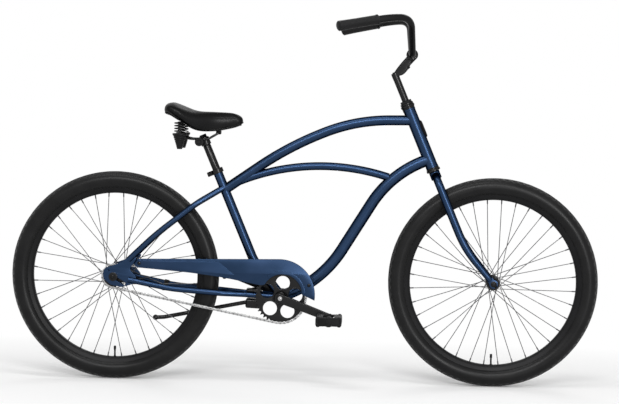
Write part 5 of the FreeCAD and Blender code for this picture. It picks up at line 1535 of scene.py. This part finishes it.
@dataclass(frozen=True)
class Cockpit:
    """Stem, handlebar and grips."""

    elbow: float = 736.7
    rise: float = 32.6
    reach: float = 74.0
    quill_length: float = 230.0
    quill_radius: float = 11.1
    neck_half: float = 11.0
    bar_radius: float = 11.1
    bar_corners: Sequence[tuple[float, float, float]] = (
        (0, 0, 0), (0, 46, 0), (-8, 190, 113), (-75, 262, 109), (-226, 330, 80)
    )
    bar_bends: Sequence[float] = (160, 100, 42)
    grip_length: float = 124.0
    grip_radius: float = 14.6
    rib_pitch: float = 4.0
    flange_radius: float = 15.9

    @property
    def bar(self) -> Array:
        """Middle of the handlebar."""
        return joint("bar_tilt")[0] * MIDDLE_PLANE

    def extension(self) -> tuple[Array, Array]:
        """Returns the directions along the stem's extension and square above it."""
        slope = math.atan2(self.rise, self.reach)
        ahead, up = STANCE.steer_ahead, STANCE.steer_up
        return ahead * math.cos(slope) + up * math.sin(slope), up * math.cos(slope) - ahead * math.sin(slope)

    def stem(self) -> Surface:
        """Stem: a turned quill, a neck between two parabolas and a split clamp with its tail.

        Returns:
            The surface.
        """
        along, above = self.extension()
        elbow, radius = self.elbow, self.quill_radius
        quill = ((elbow - self.quill_length, 11.0), (elbow - 24, radius), (elbow - 14, 11.6), (elbow, 11.4))
        root = elbow - 13
        crest = STANCE.steer(-radius, 0, elbow + 3)
        throat = STANCE.steer(31, 0, elbow - 23)
        top = parabola(STANCE.steer(-radius, 0, root), crest, self.bar + above * 8.5 - along * 8, 14)
        under = parabola(STANCE.steer(radius, 0, root), throat, self.bar - above * 12 - along * 8, 14)
        half_width = np.broadcast_to(ACROSS * self.neck_half, top.shape)
        neck = np.stack(((top + under) / 2, half_width, (top - under) / 2), axis=1)
        barrel = mirrored(((20.5, 18.5), (22, 17), (22, 13.2)))
        tail = [
            (self.bar - along * back - above * 15, ACROSS * wide, above * high)
            for back, wide, high in ((2, 11, 3.5), (39, 11, 3.5), (42, 8.5, 2.4))
        ]
        return Surface.join((
            lathe(quill, STANCE.steer(0, 0, 0), STANCE.steer_up),
            rounded_bar(neck, 6.5),
            lathe(barrel, self.bar, ACROSS, 56, ring=True),
            rounded_bar(tail, 3.0),
        ))

    def bolts(self) -> Surface:
        """Heads of the expander bolt and the pinch bolt, both turned and hollow.

        Returns:
            The surface.
        """
        along, above = self.extension()
        head = ((-3, 6.4), (4.2, 6.4), (5, 5.8), (5, 3.2), (2, 3.0))
        cap = ((0, 5), (4.2, 5), (5, 4.4), (5, 2.6), (2.4, 2.4))
        expander = lathe(head, STANCE.steer(0, 0, self.elbow - 2), STANCE.steer_up, 28)
        return Surface.join((expander, lathe(cap, self.bar - along * 37 - above * 18.5, -above, 28)))

    def half_path(self, side: int) -> list[Array]:
        """Returns the corners of half the handlebar, from its middle outward."""
        return [self.bar + vec(x, side * y, z) for x, y, z in self.bar_corners]

    def handlebar(self) -> Surface:
        """Handlebar: one bent tube from grip to grip, and a sleeve in the clamp.

        Returns:
            The surface.
        """
        route = self.half_path(-1)[::-1][:-1] + self.half_path(1)[1:]
        path = rounded_path(route, (*self.bar_bends, *reversed(self.bar_bends)), 20)
        sleeve = lathe(mirrored(((27, 12.6), (28, 11.2))), self.bar, ACROSS)
        return Surface.join((tube(path, self.bar_radius, 32, vec(0.5, 0, 0.85)), sleeve))

    def grip(self, side: int) -> Surface:
        """Grip: a turned profile whose radius is a cosine row of ribs on a palm swell, with a flange inside.

        Args:
            side: -1 for right, 1 for left.

        Returns:
            The surface.
        """
        *_, inner, end = self.half_path(side)
        along = np.linspace(-4, self.grip_length, 65)
        swell = 0.9 * np.exp(-((along / 26) ** 2))
        ribs = self.grip_radius + 0.35 * np.cos(along / self.rib_pitch * 2 * math.pi) + swell
        ribs[:2] = (11.5, 14.2)
        edge, wide = self.grip_length, self.flange_radius
        flange = [(edge + 0.5, wide - 0.7), (edge + 1.5, wide), (edge + 5, wide), (edge + 6, wide - 0.9)]
        return lathe(list(zip(along, ribs)) + flange, end, unit(inner - end), 48)

    def build(self) -> None:
        """Adds the pieces of the cockpit."""
        put(self.stem(), "stem_forged", "stem", Slot.BLACK, ("stem",))
        put(self.bolts(), "stem_bolt_heads", "stem", Slot.BLACK, ("stem_bolts",))
        put(self.handlebar(), "handlebar_bent", "handlebar", Slot.BLACK, ("handlebar",))
        for side, name in SIDES:
            put(self.grip(side), f"{name}_grip_moulded", "handlebar", Slot.GRIP, (f"{name}_grip",))


@dataclass(frozen=True)
class SeatGroup:
    """Seat post, clamp, sprung carrier and saddle."""

    neck_low: float = 522.0
    seat_length: float = 440.0
    post_inside: float = 130.0
    saddle_length: float = 251.0
    saddle_width: float = 214.0
    saddle_depth: float = 87.5
    rear_set_back: float = 111.0
    floor_above: float = 36.0
    cup_place: tuple[float, float, float] = (-60, 50, 27)
    rail_radius: float = 3.5
    rail_spread: float = 24.0
    rail_nose: float = 15.0
    spring_radius: float = 16.0
    spring_wire: float = 2.0
    spring_pitch: float = 8.5
    spring_turns: int = 4
    spring_clearance: float = 0.4
    bounce: float = 4.0
    pan_share: float = 0.69
    welt_share: float = 0.765
    voxel: float = 4.5
    pressure: float = 4.0
    longest_move: float = 3.5
    frames: int = 20

    @property
    def cross(self) -> Array:
        """Middle of the clamp's cross bolt."""
        return joint("saddle_tilt")[0] * MIDDLE_PLANE

    @property
    def nose(self) -> Array:
        """Middle of the pivot under the saddle's nose."""
        return joint("saddle_bounce")[0] * MIDDLE_PLANE

    @property
    def spring_high(self) -> float:
        """Height of a spring."""
        return 2 * self.spring_wire + self.spring_pitch * self.spring_turns

    @property
    def spring_outer(self) -> float:
        """Outer radius of a spring."""
        return self.spring_radius + self.spring_wire

    def cup_top(self, side: int) -> Array:
        """Returns the middle of a spring cup's top, or with side 0 the point between both."""
        return self.cross + np.array(self.cup_place) * (1, side, 1)

    def post(self) -> Surface:
        """Returns the post with its narrower neck, as a turned profile."""
        low, start = self.neck_low, self.seat_length - self.post_inside
        profile = ((start, 12.4), (low - 2, 12.65), (low, 11.4), (low + 35, 11.1), (low + 36, 10.4))
        return lathe(profile, STANCE.seat(0, 0, 0), STANCE.seat_up)

    def clamp(self) -> Surface:
        """Band on the post's neck with its lug, cross bolt and nuts, all turned.

        Returns:
            The surface.
        """
        low, high, bore = self.neck_low + 0.2, self.neck_low + 26, 11.2
        band = ((low, bore), (low, 15), (low + 1.2, 16), (high - 1.4, 16), (high, 14.8), (high, bore))
        lug = mirrored(((15.5, 12), (16.7, 10.5)))
        bolt = mirrored(((35.6, 4), (36.5, 3)))
        return Surface.join((
            lathe(band, STANCE.seat(0, 0, 0), STANCE.seat_up, 48, ring=True),
            lathe(lug, self.cross, ACROSS, 36),
            lathe(bolt, self.cross, ACROSS, 20),
            *(nut(self.cross, ACROSS * side, 31.3, 6, 12.1) for side, _ in SIDES),
        ))

    def discs(self) -> Surface:
        """Clamp discs, two on each side, with a groove for the rail between them.

        Returns:
            The surface.
        """
        inner = ((17, 4.2), (17, 13), (17.8, 14), (22, 14), (23, 12.8))
        outer = ((25, 12.8), (26, 14), (30.2, 14), (31, 13), (31, 4.2))
        profile = inner + outer
        return Surface.join(lathe(profile, self.cross, ACROSS * side, 48, ring=True) for side, _ in SIDES)

    def rails(self) -> Surface:
        """Both rails, bent tubes from the cups through the clamp to the nose, and the nose cross bar.

        Returns:
            The surface.
        """
        pinch, half, radius = self.cross + UP * 8.5, self.rail_nose, self.rail_radius
        pieces = []
        for side, _ in SIDES:
            beside = side * self.rail_spread
            points = (
                self.cup_top(side) - UP * 12,
                pinch + vec(-24, beside, 0),
                pinch + vec(26, beside, 0),
                self.nose + ACROSS * side * half,
            )
            pieces.append(tube(rounded_path(points, (20, 20), 10), radius, 16, vec(0.1, 1, 0.35)))
        bar = mirrored(((half + 2.5, radius), (half + 3.5, radius - 1.1)))
        pieces.append(lathe(bar, self.nose, ACROSS, 18))
        return Surface.join(pieces)

    def cups(self) -> Surface:
        """Cones under the springs: a turned profile with six ribs that fade downward.

        Returns:
            The surface.
        """
        down = np.linspace(0, 1, 30)
        ribs = 21.5 - 13.5 * down**0.9 + 0.7 * np.cos(down * 6 * 2 * math.pi) * (1 - down)
        lip = [(0, 15), (0, 22.2), (-0.8, 23), (-5.2, 23), (-6, 22.2)]
        profile = lip + list(zip(-6.2 - 43.8 * down, ribs)) + [(-50, 4)]
        return Surface.join(lathe(profile, self.cup_top(side), UP, 40) for side, _ in SIDES)

    def spring(self, side: int) -> Surface:
        """One coil: a wire along a helix of constant radius and pitch.

        Args:
            side: -1 for right, 1 for left.

        Returns:
            The surface.
        """
        turns, radius = self.spring_turns, self.spring_radius
        angle = np.linspace(0, 2 * math.pi * turns, 40 * turns + 1)
        base = self.cup_top(side) + UP * (self.spring_wire + self.spring_clearance)
        climb = self.spring_pitch * angle / (2 * math.pi)
        path = base + np.column_stack((radius * np.cos(angle), radius * np.sin(angle), climb))
        return tube(path, self.spring_wire, 14, UP)

    def shares(self) -> Array:
        """Sections of the saddle: a cubic curve through the table's rows, closed at the nose by a cosine.

        Returns:
            Rows of (along, half width, crown, shoulder, hem), as shares of the length, width and depth.
        """
        table = np.array((
            (0.00, 0.52, 0.92, 0.78, 0.58),
            (0.06, 0.88, 1.00, 0.86, 0.60),
            (0.19, 1.00, 0.88, 0.70, 0.40),
            (0.40, 0.78, 0.67, 0.46, 0.06),
            (0.62, 0.47, 0.64, 0.42, 0.02),
            (0.83, 0.31, 0.62, 0.42, 0.12),
            (0.95, 0.25, 0.57, 0.42, 0.23),
            (1.00, 0.08, 0.42, 0.39, 0.33),
        ))
        place = np.linspace(0, 7, 71)[:60]
        step = place.astype(int)
        t = (place - step)[:, None]
        a, b, c, d = (table[np.clip(step + k, 0, 7)] for k in (-1, 0, 1, 2))
        linear, square, cubic = c - a, 2 * a - 5 * b + 4 * c - d, 3 * b - a - 3 * c + d
        smooth = 0.5 * (2 * b + linear * t + square * t**2 + cubic * t**3)
        last, tip = table[6], np.array((0.95, 0.0, 0.4, 0.4, 0.4))
        turn = np.radians(np.linspace(0, 87, 14))[:, None]
        blunt = tip + (last - tip) * np.cos(turn)
        blunt[:, :1] = last[0] + (1 - last[0]) * np.sin(turn)
        return np.vstack((smooth, blunt))

    def sections(self, shares: Array) -> tuple[Array, Array, Array]:
        """Places sections along the saddle.

        Args:
            shares: rows of section shares.

        Returns:
            X, half width and hem height of each section.
        """
        x = self.cross[0] - self.rear_set_back + shares[:, 0] * self.saddle_length
        hem = self.cross[2] + self.floor_above + shares[:, 4] * self.saddle_depth
        return x, shares[:, 1] * self.saddle_width / 2, hem

    def cushion(self) -> Surface:
        """Saddle cover: sections with a superellipse crown, drawn-in sides and a flat hem.

        Each section runs from hem to hem. The crown is half of a superellipse, so it meets the side upright,
        and the side draws in with the power 2.2 of the share down.

        Returns:
            The closed surface.
        """
        shares = self.shares()
        x, half, hem = (row[:, None] for row in self.sections(shares))
        floor = self.cross[2] + self.floor_above
        crown, shoulder = (floor + shares[:, k, None] * self.saddle_depth for k in (2, 3))
        sweep = np.sin(np.linspace(-1, 1, 41)[None, :] * math.pi / 2)
        top_z = shoulder + (crown - shoulder) * np.sqrt(1 - np.abs(sweep) ** 2.2)
        down = np.linspace(0, 1, 14)[None, 1:]
        side_y = half * (1 - 0.2 * down**2.2 - 0.06 * down**12)
        side_z = shoulder + (hem - shoulder) * down
        y = np.hstack((half * sweep, side_y, -side_y[:, ::-1]))
        z = np.hstack((top_z, side_z, side_z[:, ::-1]))
        return Surface.grid(np.stack((np.broadcast_to(x, y.shape), y, z), axis=-1))

    def even_mesh(self, cover: bpy.types.Object) -> bpy.types.Mesh:
        """Gives the cover faces of one size.

        Args:
            cover: closed mesh of the cover.

        Returns:
            Its new mesh.
        """
        remesh = cover.modifiers.new("even_faces", "REMESH")
        remesh.mode, remesh.voxel_size = "VOXEL", self.voxel * MM
        graph = bpy.context.evaluated_depsgraph_get()
        even = bpy.data.meshes.new_from_object(cover.evaluated_get(graph))
        cover.modifiers.clear()
        even.materials.clear()
        for material in cover.data.materials:
            even.materials.append(material)
        cover.data = even
        return even

    def inflated(self, cover: bpy.types.Object, start: Array) -> Array:
        """Fills the cover with a short cloth simulation under pressure.

        Args:
            cover: evenly meshed cover.
            start: places of its points as one row.

        Returns:
            Where each point moves, of shape (n, 3).
        """
        scene = bpy.context.scene
        cloth = cover.modifiers.new("padding", "CLOTH")
        cloth.settings.use_pressure = True
        cloth.settings.uniform_pressure_force = self.pressure
        cloth.settings.effector_weights.gravity = 0
        cloth.point_cache.frame_start, cloth.point_cache.frame_end = 1, self.frames
        for number in range(1, self.frames + 1):
            scene.frame_set(number)
        graph = bpy.context.evaluated_depsgraph_get()
        end = np.zeros_like(start)
        cover.evaluated_get(graph).data.vertices.foreach_get("co", end)
        cover.modifiers.clear()
        scene.frame_set(1)
        return (end - start).reshape(-1, 3)

    def swell(self, cover: bpy.types.Object) -> None:
        """Pads the cover: no point moves far, the springs keep their pockets, and the skin is evened out.

        Args:
            cover: closed mesh of the cover.
        """
        even = self.even_mesh(cover)
        start = np.zeros(len(even.vertices) * 3)
        even.vertices.foreach_get("co", start)
        move = self.inflated(cover, start)
        move -= move.mean(axis=0)
        length = np.maximum(np.linalg.norm(move, axis=1, keepdims=True), 1e-9)
        points = start.reshape(-1, 3) + move * np.minimum(1.0, self.longest_move * MM / length)
        for side, _ in SIDES:
            foot = self.cup_top(side) * MM
            over = np.linalg.norm(points[:, :2] - foot[:2], axis=1) < (self.spring_outer + 3) * MM
            ceiling = foot[2] + (self.spring_high + 1.4) * MM
            points[over, 2] = np.maximum(points[over, 2], ceiling)
        even.vertices.foreach_set("co", points.ravel())
        even.update()
        even.polygons.foreach_set("use_smooth", np.ones(len(even.polygons), dtype=bool))
        even_out = cover.modifiers.new("even_out", "SMOOTH")
        even_out.factor, even_out.iterations = 0.5, 14
        finer = cover.modifiers.new("finer", "SUBSURF")
        finer.levels = finer.render_levels = 1

    def base(self) -> Surface:
        """Moulded base: a thin pan under the hem, drawn in beside the springs, and the nose pivot's block.

        Returns:
            The surface.
        """
        shares = self.shares()[:-10]
        x, half, z = self.sections(shares[shares[:, 0] >= 0.19])
        half = half * self.pan_share
        beside = np.abs(x - self.cup_top(0)[0]) < self.spring_outer + 5
        between = self.cup_top(1)[1] - self.spring_outer - 4
        half = np.where(beside, np.minimum(half, between), half)
        upper, lower = np.linspace(-1, 1, 15), np.linspace(1, -1, 15)
        across = np.concatenate((upper, lower))
        drop = np.concatenate((0 * upper, -3.9 + 1.6 * np.abs(lower) ** 6))
        rows = np.stack((x[:, None] + 0 * across, half[:, None] * across, z[:, None] + drop), axis=-1)
        stations = ((-8, 4.5), (-6, 7.5), (6, 7.5), (8, 4.5))
        block = [(self.nose + vec(ahead, 0, 3), ACROSS * 10.8, UP * high) for ahead, high in stations]
        return Surface.join((Surface.grid(rows), rounded_bar(block, 3.5)))

    def welt(self) -> Surface:
        """Piped welt: a thin tube along both hems.

        Returns:
            The surface.
        """
        x, half, hem = self.sections(self.shares()[4:-6])
        paths = [np.column_stack((x, side * half * self.welt_share, hem + 2.2)) for side in (1, -1)]
        return Surface.join(tube(path, 1.5, 10, UP) for path in paths)

    def build(self) -> None:
        """Adds the pieces of the seat."""
        put(self.post(), "seat_post_turned", "seat_post", Slot.BLACK, ("seat_post",))
        put(self.clamp(), "saddle_clamp_band", "seat_post", Slot.BLACK, ("saddle_clamp",))
        put(self.discs(), "clamp_discs_turned", "saddle_carrier", Slot.BLACK, ("saddle_clamp_discs",))
        put(self.rails(), "saddle_rails_bent", "saddle_carrier", Slot.BLACK, ("saddle_rails",))
        put(self.cups(), "spring_cups_turned", "saddle_carrier", Slot.PLASTIC, ("spring_cups",))
        springs = Surface.join(self.spring(side) for side, _ in SIDES)
        coils = put(springs, "saddle_springs_wound", "saddle_carrier", Slot.BLACK, ("saddle_springs",))
        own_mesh(coils)
        cushion = put(self.cushion(), "saddle_cushion_padded", "saddle", Slot.VINYL, ("saddle_cushion",), 60)
        self.swell(cushion)
        put(self.base(), "saddle_pan", "saddle", Slot.PLASTIC, ("saddle_base",))
        put(self.welt(), "saddle_welt", "saddle", Slot.VINYL)


@dataclass(frozen=True)
class Kickstand:
    """Folding side stand."""

    pin_reach: float = 17.0
    barrel_width: float = 13.0
    barrel_radius: float = 11.0
    leg_length: float = 332.0
    leg_radius: float = 6.5
    dip: float = 11.5
    foot_length: float = 34.0
    kick: float = 8.0
    ball: float = 9.0
    stay_slope: float = 2.6
    pin_below: float = 29.5

    def leg(self) -> Surface:
        """Leg: a bent tube with a turned barrel at its pivot and a ball on its foot.

        Returns:
            The surface.
        """
        pivot, axis = joint("kickstand_fold")
        half, wide = self.barrel_width / 2, self.barrel_radius
        middle = pivot - axis * (self.pin_reach - half)
        dip, kick = math.radians(self.dip), math.radians(self.dip - self.kick)
        ankle = middle + vec(-math.cos(dip), 0, -math.sin(dip)) * (self.leg_length - self.foot_length)
        toe = ankle + vec(-math.cos(kick), 0, -math.sin(kick)) * self.foot_length
        turn = np.radians(np.linspace(-52, 88, 14))
        dome = list(zip(-6 + self.ball * np.sin(turn), self.ball * np.cos(turn)))
        barrel = mirrored(((half - 1, wide), (half, wide - 1), (half, 5.2)))
        return Surface.join((
            tube(rounded_path((middle, ankle, toe), (40,)), self.leg_radius, 24),
            lathe(dome, toe, unit(toe - ankle), 28),
            lathe(barrel, middle, -axis, 40, ring=True),
        ))

    def mount(self) -> Surface:
        """Rounded block under the chain stays, its cover plate above, its cheek, the bolt and the pivot pin.

        Returns:
            The surface.
        """
        pivot, axis = joint("kickstand_fold")
        run = unit(vec(1, 0, -math.tan(math.radians(self.stay_slope))))
        rise = np.cross(run, ACROSS)
        middle = pivot * MIDDLE_PLANE + rise * self.pin_below

        def slab(centre: Array, stations: Sequence[tuple[float, float, float]], corner: float) -> Surface:
            """Returns a bar along the stays through (ahead, half width, half height) stations."""
            return rounded_bar([(centre + run * x, ACROSS * y, rise * z) for x, y, z in stations], corner)

        block = ((-24, 20, 11), (-20, 24, 15), (20, 24, 15), (24, 20, 11))
        cover = ((-24, 24, 2.4), (-22, 28, 3.4), (22, 28, 3.4), (24, 24, 2.4))
        cheek = ((-15, 7, 10), (-12, 7, 14), (12, 7, 14), (15, 7, 10))
        bolt = ((-12, 4), (16.5, 4), (16.6, 7.4), (20, 7.4), (20.8, 6.4))
        return Surface.join((
            slab(middle - rise * 29, block, 7),
            slab(middle + rise * 12.9, cover, 2.5),
            slab(middle - rise * 28 + ACROSS * 27, cheek, 5),
            lathe(bolt, middle, rise, 6),
            lathe(((-8, 4.9), (16, 4.9), (17, 4.2)), pivot, -axis, 24),
        ))

    def build(self) -> None:
        """Adds the stand's mount and leg."""
        put(self.mount(), "kickstand_block", "frame", Slot.BLACK, ("kickstand_mount",))
        put(self.leg(), "kickstand_leg", "kickstand", Slot.BLACK, ("kickstand",))


@dataclass(frozen=True)
class Lamp:
    """Soft rectangular light: its place in metres, power in watts, and both sides in metres."""

    name: str
    place: tuple[float, float, float]
    power: float
    wide: float
    high: float


LAMPS = (
    Lamp("overhead", (-0.4, -0.9, 3.4), 30, 3.0, 0.5),
    Lamp("top_front", (-0.3, -4.6, 3.4), 140, 3.6, 0.36),
    Lamp("front", (2.15, -4.8, 1.4), 105, 0.45, 2.2),
    Lamp("rear", (1.0, 3.0, 2.8), 22, 2.4, 0.8),
)


@dataclass(frozen=True)
class Studio:
    """White studio: floor, soft lights and the camera of the photo."""

    eye: tuple[float, float, float] = (0.25, -6.0, 1.0)
    yaw: float = 0.0388045
    pitch: float = 0.0700054
    roll: float = 0.0165701
    lens: float = 109.52
    shift: float = 0.0008
    target: tuple[float, float, float] = (0.0, 0.0, 0.5)
    dim: float = 0.42
    floor_half: float = 9000.0
    floor_tone: float = 0.93
    fade_squeeze: float = 0.3
    fade_start: float = 0.15
    fade_end: float = 0.95

    def place(self, data: bpy.types.ID, axes: Sequence[Array], at: Sequence[float]) -> bpy.types.Object:
        """Links a camera or a light into the scene.

        Args:
            data: the camera or light.
            axes: its right, upward and backward directions.
            at: its place in metres.

        Returns:
            The new object.
        """
        thing = bpy.data.objects.new(data.name, data)
        bpy.context.scene.collection.objects.link(thing)
        matrix = np.eye(4)
        matrix[:3] = np.column_stack((*axes, at))
        thing.matrix_world = Matrix(matrix.tolist())
        return thing

    def camera(self) -> None:
        """Sets up the camera, its axes turned by yaw, pitch and roll."""
        level = math.cos(self.pitch)
        ahead = vec(-math.sin(self.yaw) * level, math.cos(self.yaw) * level, -math.sin(self.pitch))
        right = vec(math.cos(self.yaw), math.sin(self.yaw), 0)
        rise = np.cross(right, ahead)
        side = right * math.cos(self.roll) + rise * math.sin(self.roll)
        top = rise * math.cos(self.roll) - right * math.sin(self.roll)
        data = bpy.data.cameras.new("photo_camera")
        data.lens, data.sensor_width = self.lens, 36.0
        data.shift_x, data.shift_y = -self.shift, self.shift
        data.clip_end = 100.0
        bpy.context.scene.camera = self.place(data, (side, top, -ahead), self.eye)

    def light(self, lamp: Lamp) -> None:
        """Adds a light that faces the bicycle.

        Args:
            lamp: its place, power and size.
        """
        data = bpy.data.lights.new(lamp.name, "AREA")
        data.shape = "RECTANGLE"
        data.energy, data.size, data.size_y = lamp.power, lamp.wide, lamp.high
        back = unit(np.array(lamp.place) - self.target)
        right = unit(np.cross(UP, back))
        self.place(data, (right, np.cross(back, right), back), lamp.place)

    def world(self) -> None:
        """White for camera, glossy and transmitted rays, dimmer for the rest."""
        world = bpy.data.worlds.new("white_studio")
        world.use_nodes = True
        bpy.context.scene.world = world
        nodes, links = world.node_tree.nodes, world.node_tree.links
        paths, mix = nodes.new("ShaderNodeLightPath"), nodes.new("ShaderNodeMixShader")
        plain = dial(nodes["Background"], {"Color": (1, 1, 1, 1), "Strength": self.dim})
        bright = dial(nodes.new("ShaderNodeBackground"), {"Color": (1, 1, 1, 1), "Strength": 1.0})
        seen, shown = nodes.new("ShaderNodeMath"), nodes.new("ShaderNodeMath")
        seen.operation = shown.operation = "MAXIMUM"
        links.new(paths.outputs["Is Camera Ray"], seen.inputs[0])
        links.new(paths.outputs["Is Glossy Ray"], seen.inputs[1])
        links.new(seen.outputs["Value"], shown.inputs[0])
        links.new(paths.outputs["Is Transmission Ray"], shown.inputs[1])
        links.new(shown.outputs["Value"], mix.inputs["Fac"])
        links.new(plain.outputs["Background"], mix.inputs[1])
        links.new(bright.outputs["Background"], mix.inputs[2])
        links.new(mix.outputs["Shader"], nodes["World Output"].inputs["Surface"])

    def floor(self) -> None:
        """Pale floor, which fades to white away from the bicycle."""
        ends = (-self.floor_half, self.floor_half)
        rows = np.array([[(x, y, 0.0) for x in ends] for y in ends])
        thing = Surface.grid(rows, loop_columns=False, capped=False).to_object("studio_floor")
        material = bpy.data.materials.new("pale_floor")
        material.use_nodes = True
        nodes, links = material.node_tree.nodes, material.node_tree.links
        shader, tone = nodes["Principled BSDF"], self.floor_tone
        dial(shader, {"Base Color": (tone, tone, tone, 1), "Roughness": 0.7, "Specular IOR Level": 0.1})
        place, glow = nodes.new("ShaderNodeTexCoord"), nodes.new("ShaderNodeEmission")
        mix, fall = nodes.new("ShaderNodeMixShader"), nodes.new("ShaderNodeMapRange")
        reach, squeeze = nodes.new("ShaderNodeVectorMath"), nodes.new("ShaderNodeVectorMath")
        reach.operation, squeeze.operation = "LENGTH", "MULTIPLY"
        squeeze.inputs[1].default_value = (self.fade_squeeze, 1.0, 1.0)
        dial(fall, {"From Min": self.fade_start, "From Max": self.fade_end, "To Min": 0.0, "To Max": 1.0})
        links.new(place.outputs["Object"], squeeze.inputs[0])
        links.new(squeeze.outputs["Vector"], reach.inputs[0])
        links.new(reach.outputs["Value"], fall.inputs["Value"])
        links.new(fall.outputs["Result"], mix.inputs["Fac"])
        links.new(shader.outputs["BSDF"], mix.inputs[1])
        links.new(glow.outputs["Emission"], mix.inputs[2])
        links.new(mix.outputs["Shader"], nodes["Material Output"].inputs["Surface"])
        thing.data.materials.append(material)

    def build(self) -> None:
        """Adds the whole studio."""
        self.world()
        self.floor()
        self.camera()
        for lamp in LAMPS:
            self.light(lamp)
        bpy.context.scene.view_settings.view_transform = "Standard"


def dress_rest() -> None:
    """Gives the CAD nodes that stay in view the finish of their slot."""
    for thing in bpy.data.objects:
        if thing.type != "MESH":
            continue
        for place in thing.material_slots:
            for slot, finish in FINISHES.items():
                if place.material and place.material.name.startswith(slot.value):
                    place.material = finish.material()


def main() -> None:
    """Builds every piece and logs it."""
    logging.basicConfig(level=logging.INFO, format="%(message)s")
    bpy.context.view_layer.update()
    dress_rest()
    front = Wheel(
        "front", STANCE.front_axle, flange_spread=33, flange_radius=22, barrel_radius=14, shell_half=40
    )
    rear = Wheel(
        "rear", STANCE.rear_axle, flange_spread=29, flange_radius=33, barrel_radius=23, shell_half=34
    )
    stand = Kickstand()
    for piece in (FrameSet(), Fork(), front, rear, Drivetrain(), Guard(), Cockpit(), SeatGroup(), stand):
        LOG.info("building %s", type(piece).__name__)
        piece.build()
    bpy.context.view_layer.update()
    Studio().build()


if __name__ == "__main__":
    main()
